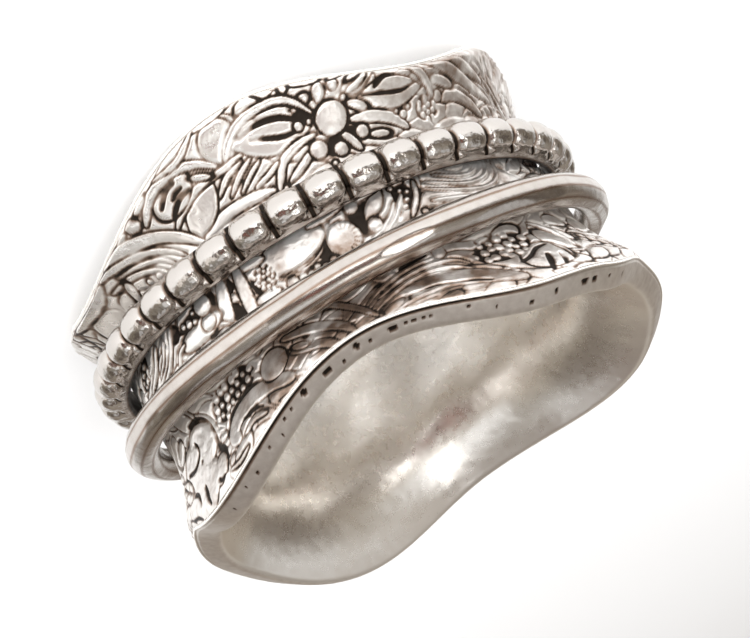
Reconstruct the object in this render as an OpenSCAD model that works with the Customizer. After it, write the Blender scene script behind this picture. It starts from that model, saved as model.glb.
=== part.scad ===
// Spinner ring: a wide silver band with a cast floral sleeve and wavy flared edges,
// and two loose rings that spin round its waist, one of beads and one of hammered wire.
// Millimetres. The ring lies on its side: the finger hole runs along Z, and the edge with
// the four low points rests on the plane Z = 0. Azimuths are degrees from +X towards +Y.

/* [Band] */
// Diameter of the finger hole
bore_d = 17.3; // [15:0.1:21]
// Wall of the band at its waist, liner and sleeve together, without the ornament
wall = 1.15; // [0.9:0.05:1.6]
// Thickness of the wavy edges
rim_t = 1.25; // [1:0.05:1.5]
// Angle that the near edge's face slants outwards, square to the flared wall
edge_slant = 35; // [0:1:40]
// Width of the band at its lip, where it is narrowest
band_w = 11.1; // [10.5:0.1:13]
// How far the near edge's lip rises above its lowest dip
near_wave = 2.35; // [1:0.05:3]
// How far the far edge rises above its low points
far_wave = 1.85; // [1:0.05:2.2]
// How far the near edge flares out from the waist
near_flare = 1.3; // [1:0.05:1.5]
// How far the far edge flares out from the waist
far_flare = 1.3; // [1:0.05:1.6]
// Widest that the flared stretch along the near edge gets, where the spinner leaves it room
near_flare_w = 3.4; // [2:0.1:4]
// Widest that the flared stretch along the far edge gets, where the spinner leaves it room
far_flare_w = 3.6; // [2:0.1:4]
// Width of the flared stretch inside the near mouth, at its narrowest
near_mouth_w = 3.1; // [2:0.05:3.5]
// Width of the flared stretch inside the far mouth, at its narrowest
far_mouth_w = 1.75; // [1:0.05:2]
/* [Ornament] */
// Height of the cast ornament above its ground
relief = 0.3; // [0.15:0.05:0.5]
// Width of the margin along each edge where the ornament fades out
margin = 0.3; // [0.1:0.05:0.8]
/* [Spinners] */
// Gap all round between the ornament and each spinner
spin_play = 0.28; // [0.25:0.01:0.6]
// Gap between the two spinners where they come closest
spin_gap = 0.22; // [0.1:0.01:0.6]
/* [Beaded spinner] */
// Number of beads
bead_n = 42; // [36:1:44]
// Diameter of a bead at its middle
bead_d = 1.35; // [1.2:0.01:1.45]
// Radius that a bead's shoulders are rounded with
bead_round = 0.5; // [0.2:0.01:0.5]
// Width of the strip that carries the beads
strip_w = 1.56; // [1.4:0.01:1.8]
// Thickness of that strip
strip_t = 0.6; // [0.4:0.01:0.65]
// Height of the middle of the beaded spinner above the far edge's low points
bead_z = 4.8; // [4.7:0.01:5.2]
// Angle that the beaded spinner leans
bead_tilt = 4.7; // [0:0.1:5.5]
/* [Plain spinner] */
// Diameter of the hammered wire
wire_d = 1.46; // [1.2:0.01:1.5]
// Depth of the hammer marks
hammer = 0.06; // [0.02:0.01:0.1]
// Angle that the plain spinner leans
plain_tilt = 7.7; // [5:0.1:8.5]

/* [Hidden] */

// Directions that the spinners' axes lean towards
bead_lean = 27;
plain_lean = 63;
// Share of a bead's pitch that the beads are turned round by
bead_phase = 0.5;

// Radii of the band: finger hole, ground of the ornament and its highest points
bore_r = bore_d / 2;
ground_r = bore_r + wall;
crest_r = ground_r + relief;

// Radii of the spinners: both clear the ornament by the same gap
spinner_in_r = crest_r + spin_play;
bead_r = spinner_in_r + bead_d / 2;
plain_r = spinner_in_r + wire_d / 2;

// The plain spinner stands clear of the beaded one where the two lean together
function lean_vector(tilt, azimuth) = tan(tilt) * [cos(azimuth), sin(azimuth)];
lean_apart = norm(lean_vector(plain_tilt, plain_lean) - lean_vector(bead_tilt, bead_lean));
plain_z = bead_z + strip_w / 2 + wire_d / 2 + spin_gap + plain_r * lean_apart;

// Crests and dips of the two edges.
// Columns: azimuth, share of the edge's wave above its lowest point
near_edge = [
    [-3, 0.00], [56, 1.00], [96, 0.50], [143, 0.87], [188, 0.41],
    [214, 0.73], [232, 0.77], [274, 0.04], [318, 0.66], [357, 0.00]];
far_edge = [
    [5, 0], [50, 1], [95, 0], [140, 1],
    [186, 0], [229, 0.92], [273, 0], [322, 1], [365, 0]];

// How far the two edges flare out in each direction, as the band is a little out of round.
// Columns: azimuth, share of the edge's flare
near_flares = [
    [-12, 0.66], [18, 1.27], [56, 1.46], [96, 1.27], [143, 1.46],
    [165, 1.36], [190, 0.93], [228, 1.00], [318, 1.00], [348, 0.66]];
far_flares = [[5, 0.85], [50, 1.00], [140, 1.00], [190, 0.70], [216, 1.00], [334, 1.00], [350, 0.80], [365, 0.85]];

// Main motifs of the ornament on one half of the band, repeated on the other half.
// Columns: azimuth, height, length, width, turn from level, bend of its middle
motifs = [
    // flower between the far edge and the beads: centre, petals and seed balls
    [251, 2.6, 1.5, 1.3, 0, 0],
    [237, 2.5, 3.0, 1.1, 4, 0.1],
    [241, 3.5, 2.4, 0.7, -22, -0.1],
    [246, 3.5, 0.7, 0.7, 0, 0],
    [252, 3.8, 0.7, 0.7, 0, 0],
    [257, 3.4, 0.8, 0.8, 0, 0],
    [261, 3.0, 2.6, 0.7, 14, -0.3],
    [263, 2.0, 2.8, 1.0, -18, 0.1],
    [248, 1.6, 0.8, 0.7, 0, 0],
    [256, 1.5, 0.9, 0.7, -20, 0],
    [265, 0.9, 1.8, 0.7, 0, 0.1],
    // strands that fan out from the flower
    [275, 3.4, 2.2, 0.7, 22, 0.1],
    [277, 2.7, 2.4, 0.7, 24, 0],
    [285, 3.0, 2.0, 1.0, 30, 0],
    [284, 1.7, 2.8, 0.7, 12, -0.3],
    [290, 2.4, 2.6, 0.7, 20, -0.2],
    [283, 0.8, 1.9, 0.7, 20, 0.2],
    [297, 2.7, 3.0, 0.7, -28, -0.4],
    [305, 3.1, 2.2, 0.7, -20, -0.2],
    [318, 3.0, 2.8, 1.0, 4, 0],
    [333, 3.2, 2.4, 0.8, 24, 0.2],
    [346, 2.6, 2.6, 0.9, -20, 0.2],
    [359, 2.0, 2.4, 1.0, 16, 0],
    [8, 1.6, 2.2, 0.8, -24, 0.2],
    // curls and leaves to its left
    [228, 3.5, 1.8, 1.0, 40, 0.2],
    [220, 2.9, 3.0, 0.7, -16, 0.3],
    [209, 3.4, 2.6, 0.7, 18, 0.2],
    [198, 2.6, 3.0, 0.8, 10, 0.2],
    // between the two spinners
    [225, 6.7, 3.4, 0.7, 6, 0.4],
    [232, 7.3, 2.8, 0.7, -12, 0.2],
    [243, 6.9, 1.8, 0.7, 62, 0],
    [253, 6.5, 1.5, 0.7, 40, 0],
    [255, 7.4, 0.7, 0.7, 0, 0],
    [258, 6.0, 0.7, 0.7, 0, 0],
    [263, 7.1, 1.5, 1.6, 0, 0],
    [274, 6.4, 3.4, 1.5, 0, 0.2],
    [288, 6.7, 0.7, 1.8, 8, 0],
    [295, 6.4, 0.7, 1.6, -8, 0],
    [300, 5.6, 0.9, 0.9, 0, 0],
    [306, 6.4, 2.6, 1.1, 0, 0],
    [319, 5.9, 3.0, 0.7, 24, 0.2],
    [331, 5.9, 2.6, 0.7, 30, 0.2],
    [342, 5.6, 1.2, 1.2, 0, 0],
    [351, 6.4, 2.4, 0.7, -24, 0.2],
    [1, 5.7, 2.6, 0.8, 18, 0.2],
    [12, 6.6, 2.2, 0.9, -10, 0],
    // between the plain spinner and the near edge
    [215, 10.6, 2.4, 0.7, -50, 0.3],
    [225, 11.4, 2.2, 1.6, 10, 0],
    [223, 10.2, 2.4, 0.7, -14, -0.2],
    [234, 10.4, 1.0, 0.9, 0, 0],
    [245, 11.7, 3.6, 0.8, -24, -0.3],
    [255, 10.5, 4.2, 0.7, 0, -0.6],
    [259, 11.1, 2.4, 0.7, 8, -0.2],
    [273, 10.4, 2.6, 0.7, -48, 0],
    [280, 10.3, 2.6, 0.7, -40, 0],
    [284, 11.0, 1.8, 0.7, -26, 0],
    [290.5, 9.8, 1.3, 1.3, 0, 0],
    [300, 10.4, 3.6, 0.8, 0, -0.4],
    [301, 11.5, 2.2, 0.8, -12, -0.3],
    [308, 9.5, 1.0, 0.9, 0, 0],
    [302, 9.4, 1.0, 0.7, 0, 0],
    [320, 11.3, 2.8, 1.8, -20, 0],
    [318, 9.8, 2.4, 0.7, -70, 0.4],
    [328, 9.6, 2.4, 1.1, 20, 0],
    [338, 10.8, 2.6, 0.9, -34, 0.2],
    [350, 9.2, 3.0, 0.9, 16, 0.2],
    [2, 9.8, 2.6, 0.9, -18, 0.2],
    [15, 10.8, 2.8, 1.0, 24, 0]];

// Shape of the flares: how late they curve away from the waist
flare_curve = 1.6;
// Share of the wire's radius that the near flare may start under
flare_under = 0.35;
// Shape of a motif's dome: 1 is a soft mound, less is flatter on top and steeper at its rim
dome_curve = 0.75;
// Part of a turn after which the motifs repeat
motif_repeat = 180;

// Steps round the band, and across it between the edges
columns = 144;
rows = 29;
// Lip that the finger hole's wall leaves inside each mouth
lip = 0.05;
// Rounding of the two edges. Columns: share of the thickness along the face, share of it below the face
near_round = [[0, 0.10], [0.1, 0], [0.5, 0], [0.88, 0.05], [1, 0.3]];
far_round = [[0, 0.45], [0.15, 0.1], [0.5, 0], [0.85, 0.12], [1, 0.5]];
// The mouth inside each edge. Columns: share of the way to the finger hole, share of the way down
mouth_curve = [[0.51, 0.3], [0.86, 0.62]];

// Share that a table gives at an azimuth, eased between its rows, and the heights of the two edges
function ease(t) = (1 - cos(180 * t)) / 2;
function edge_share(table, azimuth) = let(
    a = azimuth < table[0][0] ? azimuth + 360 : azimuth > table[len(table) - 1][0] ? azimuth - 360 : azimuth,
    i = max([for (k = [0:len(table) - 2]) if (table[k][0] <= a) k]),
    t = (a - table[i][0]) / (table[i + 1][0] - table[i][0]))
    table[i][1] + (table[i + 1][1] - table[i][1]) * ease(t);
function near_z(azimuth) = band_w + near_wave * edge_share(near_edge, azimuth);
function far_z(azimuth) = far_wave * edge_share(far_edge, azimuth);

// Shoulders of the band: where its edges start to round over
function near_shoulder(azimuth) = near_z(azimuth) - near_round[0][1] * rim_t * cos(edge_slant);
function far_shoulder(azimuth) = far_z(azimuth) + far_round[0][1] * rim_t;

// Height at an azimuth of the middle plane of a spinner that leans
function leaning_z(middle, r, tilt, lean, azimuth) =
    middle - r * lean_vector(tilt, lean) * [cos(azimuth), sin(azimuth)];

// Widths of the flares: they start beside the spinner next to them
function near_room(azimuth) = near_shoulder(azimuth)
    - leaning_z(plain_z, plain_r, plain_tilt, plain_lean, azimuth) - flare_under * wire_d / 2;
function far_room(azimuth) = leaning_z(bead_z, spinner_in_r, bead_tilt, bead_lean, azimuth)
    - strip_w / 2 - far_shoulder(azimuth);

// Share of a flare at a distance from its shoulder
function flare_share(distance, width) = pow(max(0, min(1, 1 - distance / width)), flare_curve);

// Shortest turn from one azimuth to another where the motifs repeat
function turn_between(a, b) = let(turn = (a - b) % motif_repeat)
    turn > motif_repeat / 2 ? turn - motif_repeat : turn < -motif_repeat / 2 ? turn + motif_repeat : turn;

// Height of one motif at a place: a dome over a bent oval
function motif_share(m, azimuth, z) = let(
    x = turn_between(azimuth, m[0]) / 360 * 2 * PI * ground_r,
    y = z - m[1],
    u = (x * cos(m[4]) + y * sin(m[4])) / (m[2] / 2),
    v = (-x * sin(m[4]) + y * cos(m[4]) - m[5] * (1 - u * u)) / (m[3] / 2))
    pow(max(0, 1 - u * u - v * v), dome_curve);
function ornament(azimuth, z) = let(
    inside = min(near_shoulder(azimuth) - z, z - far_shoulder(azimuth)) / margin)
    max([for (m = motifs) motif_share(m, azimuth, z)]) * max(0, min(1, inside));

// How far each edge flares out at an azimuth
function near_flare_at(azimuth) = near_flare * edge_share(near_flares, azimuth);
function far_flare_at(azimuth) = far_flare * edge_share(far_flares, azimuth);

// Outer radius of the sleeve without and with its ornament
function sleeve_r(azimuth, z) = ground_r
    + (near_flare_at(azimuth) + relief)
        * flare_share(near_shoulder(azimuth) - z, min(near_flare_w, near_room(azimuth)))
    + (far_flare_at(azimuth) + relief)
        * flare_share(z - far_shoulder(azimuth), min(far_flare_w, far_room(azimuth)));
function skin_r(azimuth, z) = sleeve_r(azimuth, z) + relief * ornament(azimuth, z);

// One ring of points from a radius and a height for each azimuth
azimuths = [for (i = [0:columns - 1]) i * 360 / columns];
function point(azimuth, r, z) = [r * cos(azimuth), r * sin(azimuth), z];

// Radius and height of a point of an edge's rounding, measured from the shoulder along the face and
// square to it: side is 1 at the near edge, whose face slants, and -1 at the far one
function edge_place(side, azimuth, edge) = let(
    z = side > 0 ? near_shoulder(azimuth) : far_shoulder(azimuth),
    slant = side > 0 ? edge_slant : 0,
    shoulder = side > 0 ? near_round[0][1] : far_round[0][1],
    along = edge[0] * rim_t,
    above = (shoulder - edge[1]) * rim_t)
    [skin_r(azimuth, z) - along * cos(slant) + above * sin(slant),
     z + side * (along * sin(slant) + above * cos(slant))];
function edge_ring(side, edge) = [for (a = azimuths) let(place = edge_place(side, a, edge))
    point(a, place[0], place[1])];

// Rings of a mouth, from the edge down to the finger hole's wall
near_mouth_z = band_w - near_mouth_w;
far_mouth_z = far_wave + far_mouth_w;
function mouth_ring(side, step) = [for (a = azimuths) let(
    start = side > 0 ? edge_place(1, a, near_round[len(near_round) - 1])
        : edge_place(-1, a, far_round[len(far_round) - 1]),
    end_z = side > 0 ? near_mouth_z : far_mouth_z)
    point(a, start[0] + (bore_r + lip - start[0]) * step[0], start[1] + (end_z - start[1]) * step[1])];

// Rings of the sleeve between the two roundings
function sleeve_ring(share) = [for (a = azimuths) let(
    low = far_shoulder(a),
    high = near_shoulder(a),
    z = low + (high - low) * share)
    point(a, skin_r(a, z), z)];

// Skin of the band as rings from the far mouth, over the far edge, up the sleeve, and into the near mouth
function reversed(list) = [for (i = [len(list) - 1:-1:0]) list[i]];
far_rings = [for (s = reversed(mouth_curve)) mouth_ring(-1, s), for (e = reversed(far_round)) edge_ring(-1, e)];
near_rings = [for (e = near_round) edge_ring(1, e), for (s = mouth_curve) mouth_ring(1, s)];
skin = [
    mouth_ring(-1, [1, 1]),
    each far_rings,
    for (k = [1:rows - 1]) sleeve_ring(k / rows),
    each near_rings,
    mouth_ring(1, [1, 1])];

// The band as a plug with its finger hole still closed, one quad strip for each pair of rings
module plug() {
    last = len(skin) - 1;
    polyhedron(
        points = [for (ring = skin) each ring],
        faces = [
            [for (i = [0:columns - 1]) i],
            [for (i = [columns - 1:-1:0]) last * columns + i],
            for (k = [0:last - 1]) for (i = [0:columns - 1]) let(j = (i + 1) % columns)
                each [[k * columns + i, (k + 1) * columns + i, (k + 1) * columns + j],
                      [k * columns + i, (k + 1) * columns + j, k * columns + j]]]);
}

module base_band() {
    color("silver") difference() {
        plug();
        translate([0, 0, -bore_r]) cylinder(h = band_w + near_wave + bore_d, r = bore_r, $fn = 96);
    }
}

// Tips a spinner's axis by an angle towards an azimuth
module leaning(tilt, azimuth) {
    rotate([0, 0, azimuth]) rotate([0, tilt, 0]) rotate([0, 0, -azimuth]) children();
}

// One bead: a barrel with rounded shoulders, whose axis runs along the spinner
module bead() {
    half = PI * bead_r / bead_n;
    flank = half - bead_round;
    rotate([90, 0, 0]) rotate_extrude($fn = 32) intersection() {
        translate([0, -half]) square([bead_d / 2, 2 * half]);
        union() {
            translate([0, -flank]) square([bead_d / 2, 2 * flank]);
            translate([0, -half]) square([bead_d / 2 - bead_round, 2 * half]);
            for (end = [-flank, flank]) translate([bead_d / 2 - bead_round, end]) circle(r = bead_round, $fn = 32);
        }
    }
}

module beaded_spinner() {
    color("gainsboro") translate([0, 0, bead_z]) leaning(bead_tilt, bead_lean) {
        rotate_extrude($fn = 96) translate([spinner_in_r, -strip_w / 2]) square([strip_t, strip_w]);
        for (i = [0:bead_n - 1]) rotate([0, 0, (i + bead_phase) * 360 / bead_n]) translate([bead_r, 0, 0]) bead();
    }
}

// Flats that the hammer left on the wire. Columns: azimuth, roll round the wire
hammer_marks = [
    [8, 20], [33, -35], [57, 40], [84, 0], [108, 55], [131, -20], [158, 30], [182, 70],
    [205, -10], [231, 45], [254, 15], [279, -30], [303, 60], [329, 5], [350, -45]];

module plain_spinner() {
    mark_w = 2 * wire_d;
    color("lightgray") translate([0, 0, plain_z]) leaning(plain_tilt, plain_lean) difference() {
        rotate_extrude($fn = 96) translate([plain_r, 0]) circle(d = wire_d, $fn = 32);
        for (m = hammer_marks) rotate([0, 0, m[0]]) translate([plain_r, 0, 0]) rotate([0, -m[1], 0])
            translate([wire_d / 2 - hammer, -mark_w, -mark_w]) cube([wire_d, 2 * mark_w, 2 * mark_w]);
    }
}

base_band();
beaded_spinner();
plain_spinner();
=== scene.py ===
# %% [markdown]
# # A silver spinner ring, built from surfaces
#
# The real ring has three parts. A wide band carries cast flowers and leaves, with black oxide left in
# the hollows. A ring of beads and a ring of hammered wire lie loose round its waist and can be spun.
# Each part is worked out here as a grid of points with numpy and handed to Blender in one go, because
# a grid lets a formula say exactly where silver stands proud and where a tool has cut it.

# %% The frame that everything is built in
import math

import bpy
import numpy as np
from mathutils import Matrix, Vector


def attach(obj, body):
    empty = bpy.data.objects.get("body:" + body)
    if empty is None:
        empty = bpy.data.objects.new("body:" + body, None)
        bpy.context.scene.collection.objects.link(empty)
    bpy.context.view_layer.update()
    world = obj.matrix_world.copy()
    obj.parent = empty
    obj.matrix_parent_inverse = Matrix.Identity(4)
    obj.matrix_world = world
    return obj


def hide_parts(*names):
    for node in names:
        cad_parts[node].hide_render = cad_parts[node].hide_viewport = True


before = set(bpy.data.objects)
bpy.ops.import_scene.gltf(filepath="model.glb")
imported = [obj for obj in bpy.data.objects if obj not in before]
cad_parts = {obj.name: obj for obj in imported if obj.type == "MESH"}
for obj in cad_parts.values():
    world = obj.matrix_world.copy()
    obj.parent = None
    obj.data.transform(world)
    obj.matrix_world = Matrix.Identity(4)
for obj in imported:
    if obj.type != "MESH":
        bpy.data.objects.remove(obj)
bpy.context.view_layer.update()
print("CAD parts:", sorted(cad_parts))

MM = 0.001

# %% [markdown]
# ## The band's main shape
#
# The band's two edges rise and dip like a petal's rim, and flare outwards so that the loose rings can't
# slip off. Each edge is a short table of crests and dips, eased from one to the next with half a cosine
# wave. That is how a maker would file it too: a few high points first, then smooth curves between.

# %% Sizes of the band and its edges, in millimetres and degrees
BORE_R = 8.65
GROUND_R = 9.8
RELIEF = 0.3
CREST_R = GROUND_R + RELIEF
RIM_T = 1.25
EDGE_SLANT = math.radians(35)
BAND_W = 11.1
NEAR_WAVE = 2.35
FAR_WAVE = 1.85
NEAR_FLARE = 1.3
FAR_FLARE = 1.3
NEAR_FLARE_W = 3.4
FAR_FLARE_W = 3.6
FLARE_CURVE = 1.6
FLARE_UNDER = 0.35
NEAR_DROP = 0.10 * RIM_T * math.cos(EDGE_SLANT)
FAR_DROP = 0.45 * RIM_T
NEAR_MOUTH_DEPTH = 3.1
FAR_MOUTH_DEPTH = 1.75
NEAR_MOUTH_Z = BAND_W - NEAR_MOUTH_DEPTH
FAR_MOUTH_Z = FAR_WAVE + FAR_MOUTH_DEPTH

SPINNER_PLAY = 0.28
SPINNER_IN_R = CREST_R + SPINNER_PLAY
BEAD_N, BEAD_D = 42, 1.35
STRIP_W, STRIP_T = 1.56, 0.6
WIRE_D = 1.46
BEAD_R = SPINNER_IN_R + BEAD_D / 2
PLAIN_R = SPINNER_IN_R + WIRE_D / 2
BEAD_TILT, BEAD_LEAN = 4.7, 27
PLAIN_TILT, PLAIN_LEAN = 7.7, 63
BEAD_Z = 4.8
SPIN_GAP = 0.22

# Columns: azimuth, share of the edge's wave
NEAR_EDGE = [(-3, 0.00), (56, 1.00), (96, 0.50), (143, 0.87), (188, 0.41),
             (214, 0.73), (232, 0.77), (274, 0.04), (318, 0.66), (357, 0.00)]
FAR_EDGE = [(5, 0), (50, 1), (95, 0), (140, 1), (186, 0), (229, 0.92), (273, 0), (322, 1), (365, 0)]
# Columns: azimuth, share of the edge's flare
NEAR_FLARES = [(-12, 0.66), (18, 1.27), (56, 1.46), (96, 1.27), (143, 1.46),
               (165, 1.36), (190, 0.93), (228, 1.00), (318, 1.00), (348, 0.66)]
FAR_FLARES = [(5, 0.85), (50, 1.00), (140, 1.00), (190, 0.70), (216, 1.00),
              (334, 1.00), (350, 0.80), (365, 0.85)]
print("finger hole:", 2 * BORE_R, "mm across")


# %% How the two edges rise and fall
def eased(table, azimuth):
    """Value of a table at each azimuth: between two rows it follows half a cosine wave."""
    rows = np.asarray(table, float)
    turned = (azimuth - rows[0, 0]) % 360 + rows[0, 0]
    k = np.clip(np.searchsorted(rows[:, 0], turned, side="right") - 1, 0, len(rows) - 2)
    share = (turned - rows[k, 0]) / (rows[k + 1, 0] - rows[k, 0])
    return rows[k, 1] + (rows[k + 1, 1] - rows[k, 1]) * (1 - np.cos(math.pi * share)) / 2


def near_z(azimuth):
    """Height of the near edge's lip: the band's least width plus its wave."""
    return BAND_W + NEAR_WAVE * eased(NEAR_EDGE, azimuth)


def far_z(azimuth):
    """Height of the far edge, whose dips rest on the floor."""
    return FAR_WAVE * eased(FAR_EDGE, azimuth)


print("near edge's highest crest:", round(float(near_z(np.arange(360)).max()), 2), "mm above the floor")

# %% [markdown]
# The two loose rings lean, each its own way, so the lower one sets how high the upper one can lie. The gap
# between them is least where the two planes come closest: there it is just wide enough to let both spin.

# %% Where the loose rings lie, and how the sleeve makes room for them
def lean_vector(tilt, azimuth):
    """How far a leaning plane drops for each millimetre outwards, along X and Y."""
    a = math.radians(azimuth)
    return math.tan(math.radians(tilt)) * np.array([math.cos(a), math.sin(a)])


def leaning_z(middle, radius, tilt, lean, azimuth):
    """Height of a leaning ring's middle plane: its centre less radius times slope times the cosine."""
    return middle - radius * math.tan(math.radians(tilt)) * np.cos(np.radians(azimuth - lean))


LEAN_APART = np.linalg.norm(lean_vector(PLAIN_TILT, PLAIN_LEAN) - lean_vector(BEAD_TILT, BEAD_LEAN))
PLAIN_Z = BEAD_Z + STRIP_W / 2 + WIRE_D / 2 + SPIN_GAP + PLAIN_R * LEAN_APART


def flare_share(distance, width):
    """Share of the flare at a distance from the shoulder: one there, none past the width."""
    return np.clip(1 - distance / width, 0, 1) ** FLARE_CURVE


def sleeve_r(azimuth, z):
    """Radius of the sleeve without ornament: its ground plus what each edge's flare adds. A flare ends
    before the loose rings, so where an edge dips towards one of them its flare is shorter."""
    near_shoulder = near_z(azimuth) - NEAR_DROP
    far_shoulder = far_z(azimuth) + FAR_DROP
    wire_z = leaning_z(PLAIN_Z, PLAIN_R, PLAIN_TILT, PLAIN_LEAN, azimuth)
    bead_z = leaning_z(BEAD_Z, SPINNER_IN_R, BEAD_TILT, BEAD_LEAN, azimuth)
    near_room = near_shoulder - wire_z - FLARE_UNDER * WIRE_D / 2
    far_room = bead_z - STRIP_W / 2 - far_shoulder
    near = flare_share(near_shoulder - z, np.minimum(NEAR_FLARE_W, near_room))
    far = flare_share(z - far_shoulder, np.minimum(FAR_FLARE_W, far_room))
    return (GROUND_R + (NEAR_FLARE * eased(NEAR_FLARES, azimuth) + RELIEF) * near
            + (FAR_FLARE * eased(FAR_FLARES, azimuth) + RELIEF) * far)


print("wire's middle height:", round(float(PLAIN_Z), 3), "mm")

# %% [markdown]
# ## The cast ornament as two maps
#
# The flowers, leaves and seed balls could be modelled one by one and laid on the band, but the real ones
# are cast in one piece with it and run into each other. So the whole pattern is painted first on a flat
# map of heights, one half turn long, and then wrapped round the band twice. A second map of the same size
# says how much black oxide a place holds. Motifs are painted from the back to the front, and each cuts a
# narrow groove round itself where the oxide stays.

# %% The two empty maps, and how a brush marks them
MAP_STEP = 0.03
MAP_LOW = -0.6
MAP_HIGH = 14.4
HALF_TURN = math.pi * GROUND_R
MAP_COLUMNS = round(HALF_TURN / MAP_STEP)
MAP_ROWS = round((MAP_HIGH - MAP_LOW) / MAP_STEP)
GROUND_LEVEL = 0.8
GROOVE = 0.075
CLEAN_INSIDE = 0.03
FAR_AWAY = 9.0
relief_map = np.full((MAP_ROWS, MAP_COLUMNS), GROUND_LEVEL)
ink_map = np.zeros((MAP_ROWS, MAP_COLUMNS))
pen = {"ink": 1.0}


def dip(ink):
    """How black the grooves round the next motifs are."""
    pen["ink"] = ink


def patch(azimuths, heights, reach):
    """The stretch of the map near some points: its rows, its columns and each cell's place in mm."""
    along = np.radians(np.asarray(azimuths, float)) * GROUND_R
    first, last = int((along.min() - reach) / MAP_STEP) - 1, int((along.max() + reach) / MAP_STEP) + 2
    columns = np.arange(first, last)
    low = max(0, int((min(heights) - reach - MAP_LOW) / MAP_STEP))
    high = min(MAP_ROWS, int((max(heights) + reach - MAP_LOW) / MAP_STEP) + 2)
    rows = np.arange(low, max(high, low + 1))
    s, z = np.meshgrid(columns * MAP_STEP, MAP_LOW + rows * MAP_STEP)
    return np.ix_(rows, columns % MAP_COLUMNS), s, z


def turned_in(azimuth, height, turn, s, z):
    """Each cell's place along and across a motif that is turned from level."""
    x, y = s - math.radians(azimuth) * GROUND_R, z - height
    c, d = math.cos(math.radians(turn)), math.sin(math.radians(turn))
    return x * c + y * d, y * c - x * d


def spot(azimuth, height, reach, turn=0):
    """The stretch of the map round one motif, and each cell's place along and across it."""
    cells, s, z = patch([azimuth], [height], reach)
    return cells, *turned_in(azimuth, height, turn, s, z)


def beyond(along, across, length, width):
    """How far outside an ellipse a cell lies, in its radii: the length of (along / half the length,
    across / half the width), less one. It is negative inside."""
    return np.hypot(along / (length / 2), across / (width / 2)) - 1


def press(cells, height, ink):
    """Lowers a patch to a height wherever it stood higher, and blackens it wherever it was cleaner."""
    relief_map[cells] = np.minimum(relief_map[cells], height)
    ink_map[cells] = np.maximum(ink_map[cells], ink)


def raised(cells, distance, level=1.0, soft=0.12):
    """Paints a motif. distance is how far a cell lies outside its outline, negative inside.
    Inside, the height follows a quarter circle up to level; outside, a groove climbs back out."""
    press(cells, np.clip(distance / GROOVE, 0, 1) ** 1.5, pen["ink"] * np.clip(1 - distance / GROOVE, 0, 1))
    climb = np.clip(-distance / soft, 0, 1)
    relief_map[cells] = np.where(distance < 0, level * np.sqrt(1 - (1 - climb) ** 2), relief_map[cells])
    ink_map[cells] = np.where(distance < -CLEAN_INSIDE, 0, ink_map[cells])


def painted(what):
    """Says what has been painted, and the share of the map that is in ink after it."""
    print(what, "painted; in ink:", round(float((ink_map > 0.5).mean()), 3))


print("maps of the ornament:", relief_map.shape, "cells of", MAP_STEP, "mm")

# %% Brushes that raise metal
LEAF_SOFT = 0.14
STRAND_SOFT = 0.13
STRAND_END = 0.3
VEIN_SLANT, VEIN_LENGTH, VEIN_SHORTENING = 0.8, 0.82, 0.75
RIB_HALF, VEIN_HALF, VEIN_WALL = 0.03, 0.02, 0.09
VEIN_FLOOR, VEIN_INK, VEINED_SHARE = 0.25, 0.7, 0.9


def oval(azimuth, height, length, width, turn=0, bend=0, level=1.0, soft=0.2):
    """A domed oval, whose middle line may bend like a banana."""
    cells, along, across = spot(azimuth, height, length / 2 + abs(bend) + 0.3, turn)
    u = along / (length / 2)
    outside = beyond(along, across - bend * (1 - u * u), length, width)
    raised(cells, outside * min(length, width) / 2, level, soft)


def lobes(parts, soft=0.25):
    """One smooth motif with several lobes: its outline joins some ovals, each given as in oval."""
    azimuths, heights, lengths = list(zip(*parts))[:3]
    cells, s, z = patch(azimuths, heights, max(lengths) / 2 + 0.3)
    distance = np.full(s.shape, FAR_AWAY)
    for azimuth, height, length, width, turn in parts:
        outside = beyond(*turned_in(azimuth, height, turn, s, z), length, width)
        distance = np.minimum(distance, outside * min(length, width) / 2)
    raised(cells, distance, 1.0, soft)


def leaf(azimuth, height, length, width, turn=0, bend=0, veins=0, level=1.0):
    """A pointed leaf: its half width falls off as one minus the square of the way to its tip.
    veins is how many cuts run from its midrib to each side."""
    cells, along, across = spot(azimuth, height, length / 2 + abs(bend) + 0.3, turn)
    u = along / (length / 2)
    aside = np.abs(across - bend * (1 - u * u))
    half = width / 2 * np.clip(1 - u * u, 0, None)
    past = np.clip(np.abs(u) - 1, 0, None) * length / 2
    raised(cells, np.hypot(np.clip(aside - half, 0, None), past)
           + np.minimum(aside - half, 0) * (past == 0), level, LEAF_SOFT)
    if veins:
        beat = (along - aside * VEIN_SLANT) * veins / length % 1 - 0.5
        vein = np.abs(beat) * length / veins * VEIN_SHORTENING
        away = np.minimum(aside - RIB_HALF, np.where(aside < half * VEIN_LENGTH, vein, 1) - VEIN_HALF)
        away = np.where(np.abs(u) < VEINED_SHARE, away, 1)
        press(cells, VEIN_FLOOR + np.clip(away / VEIN_WALL, 0, 1) * (1 - VEIN_FLOOR),
              VEIN_INK * np.clip(1 - away / VEIN_WALL, 0, 1))


def ball(azimuth, height, radius):
    """A seed ball: a full dome."""
    oval(azimuth, height, 2 * radius, 2 * radius, soft=radius)


def spline(points, samples=40):
    """A smooth path through some points, by Catmull and Rom's cubic between each pair."""
    p = np.asarray(points, float)
    p = np.vstack([2 * p[0] - p[1], p, 2 * p[-1] - p[-2]])
    t = np.linspace(0, 1, samples, endpoint=False)[:, None]
    parts = []
    for a, b, c, d in zip(p[:-3], p[1:-2], p[2:-1], p[3:]):
        parts.append(0.5 * (2 * b + (c - a) * t + (2 * a - 5 * b + 4 * c - d) * t ** 2
                            + (3 * b - a - 3 * c + d) * t ** 3))
    return np.vstack([*parts, p[-2:-1]])


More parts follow.
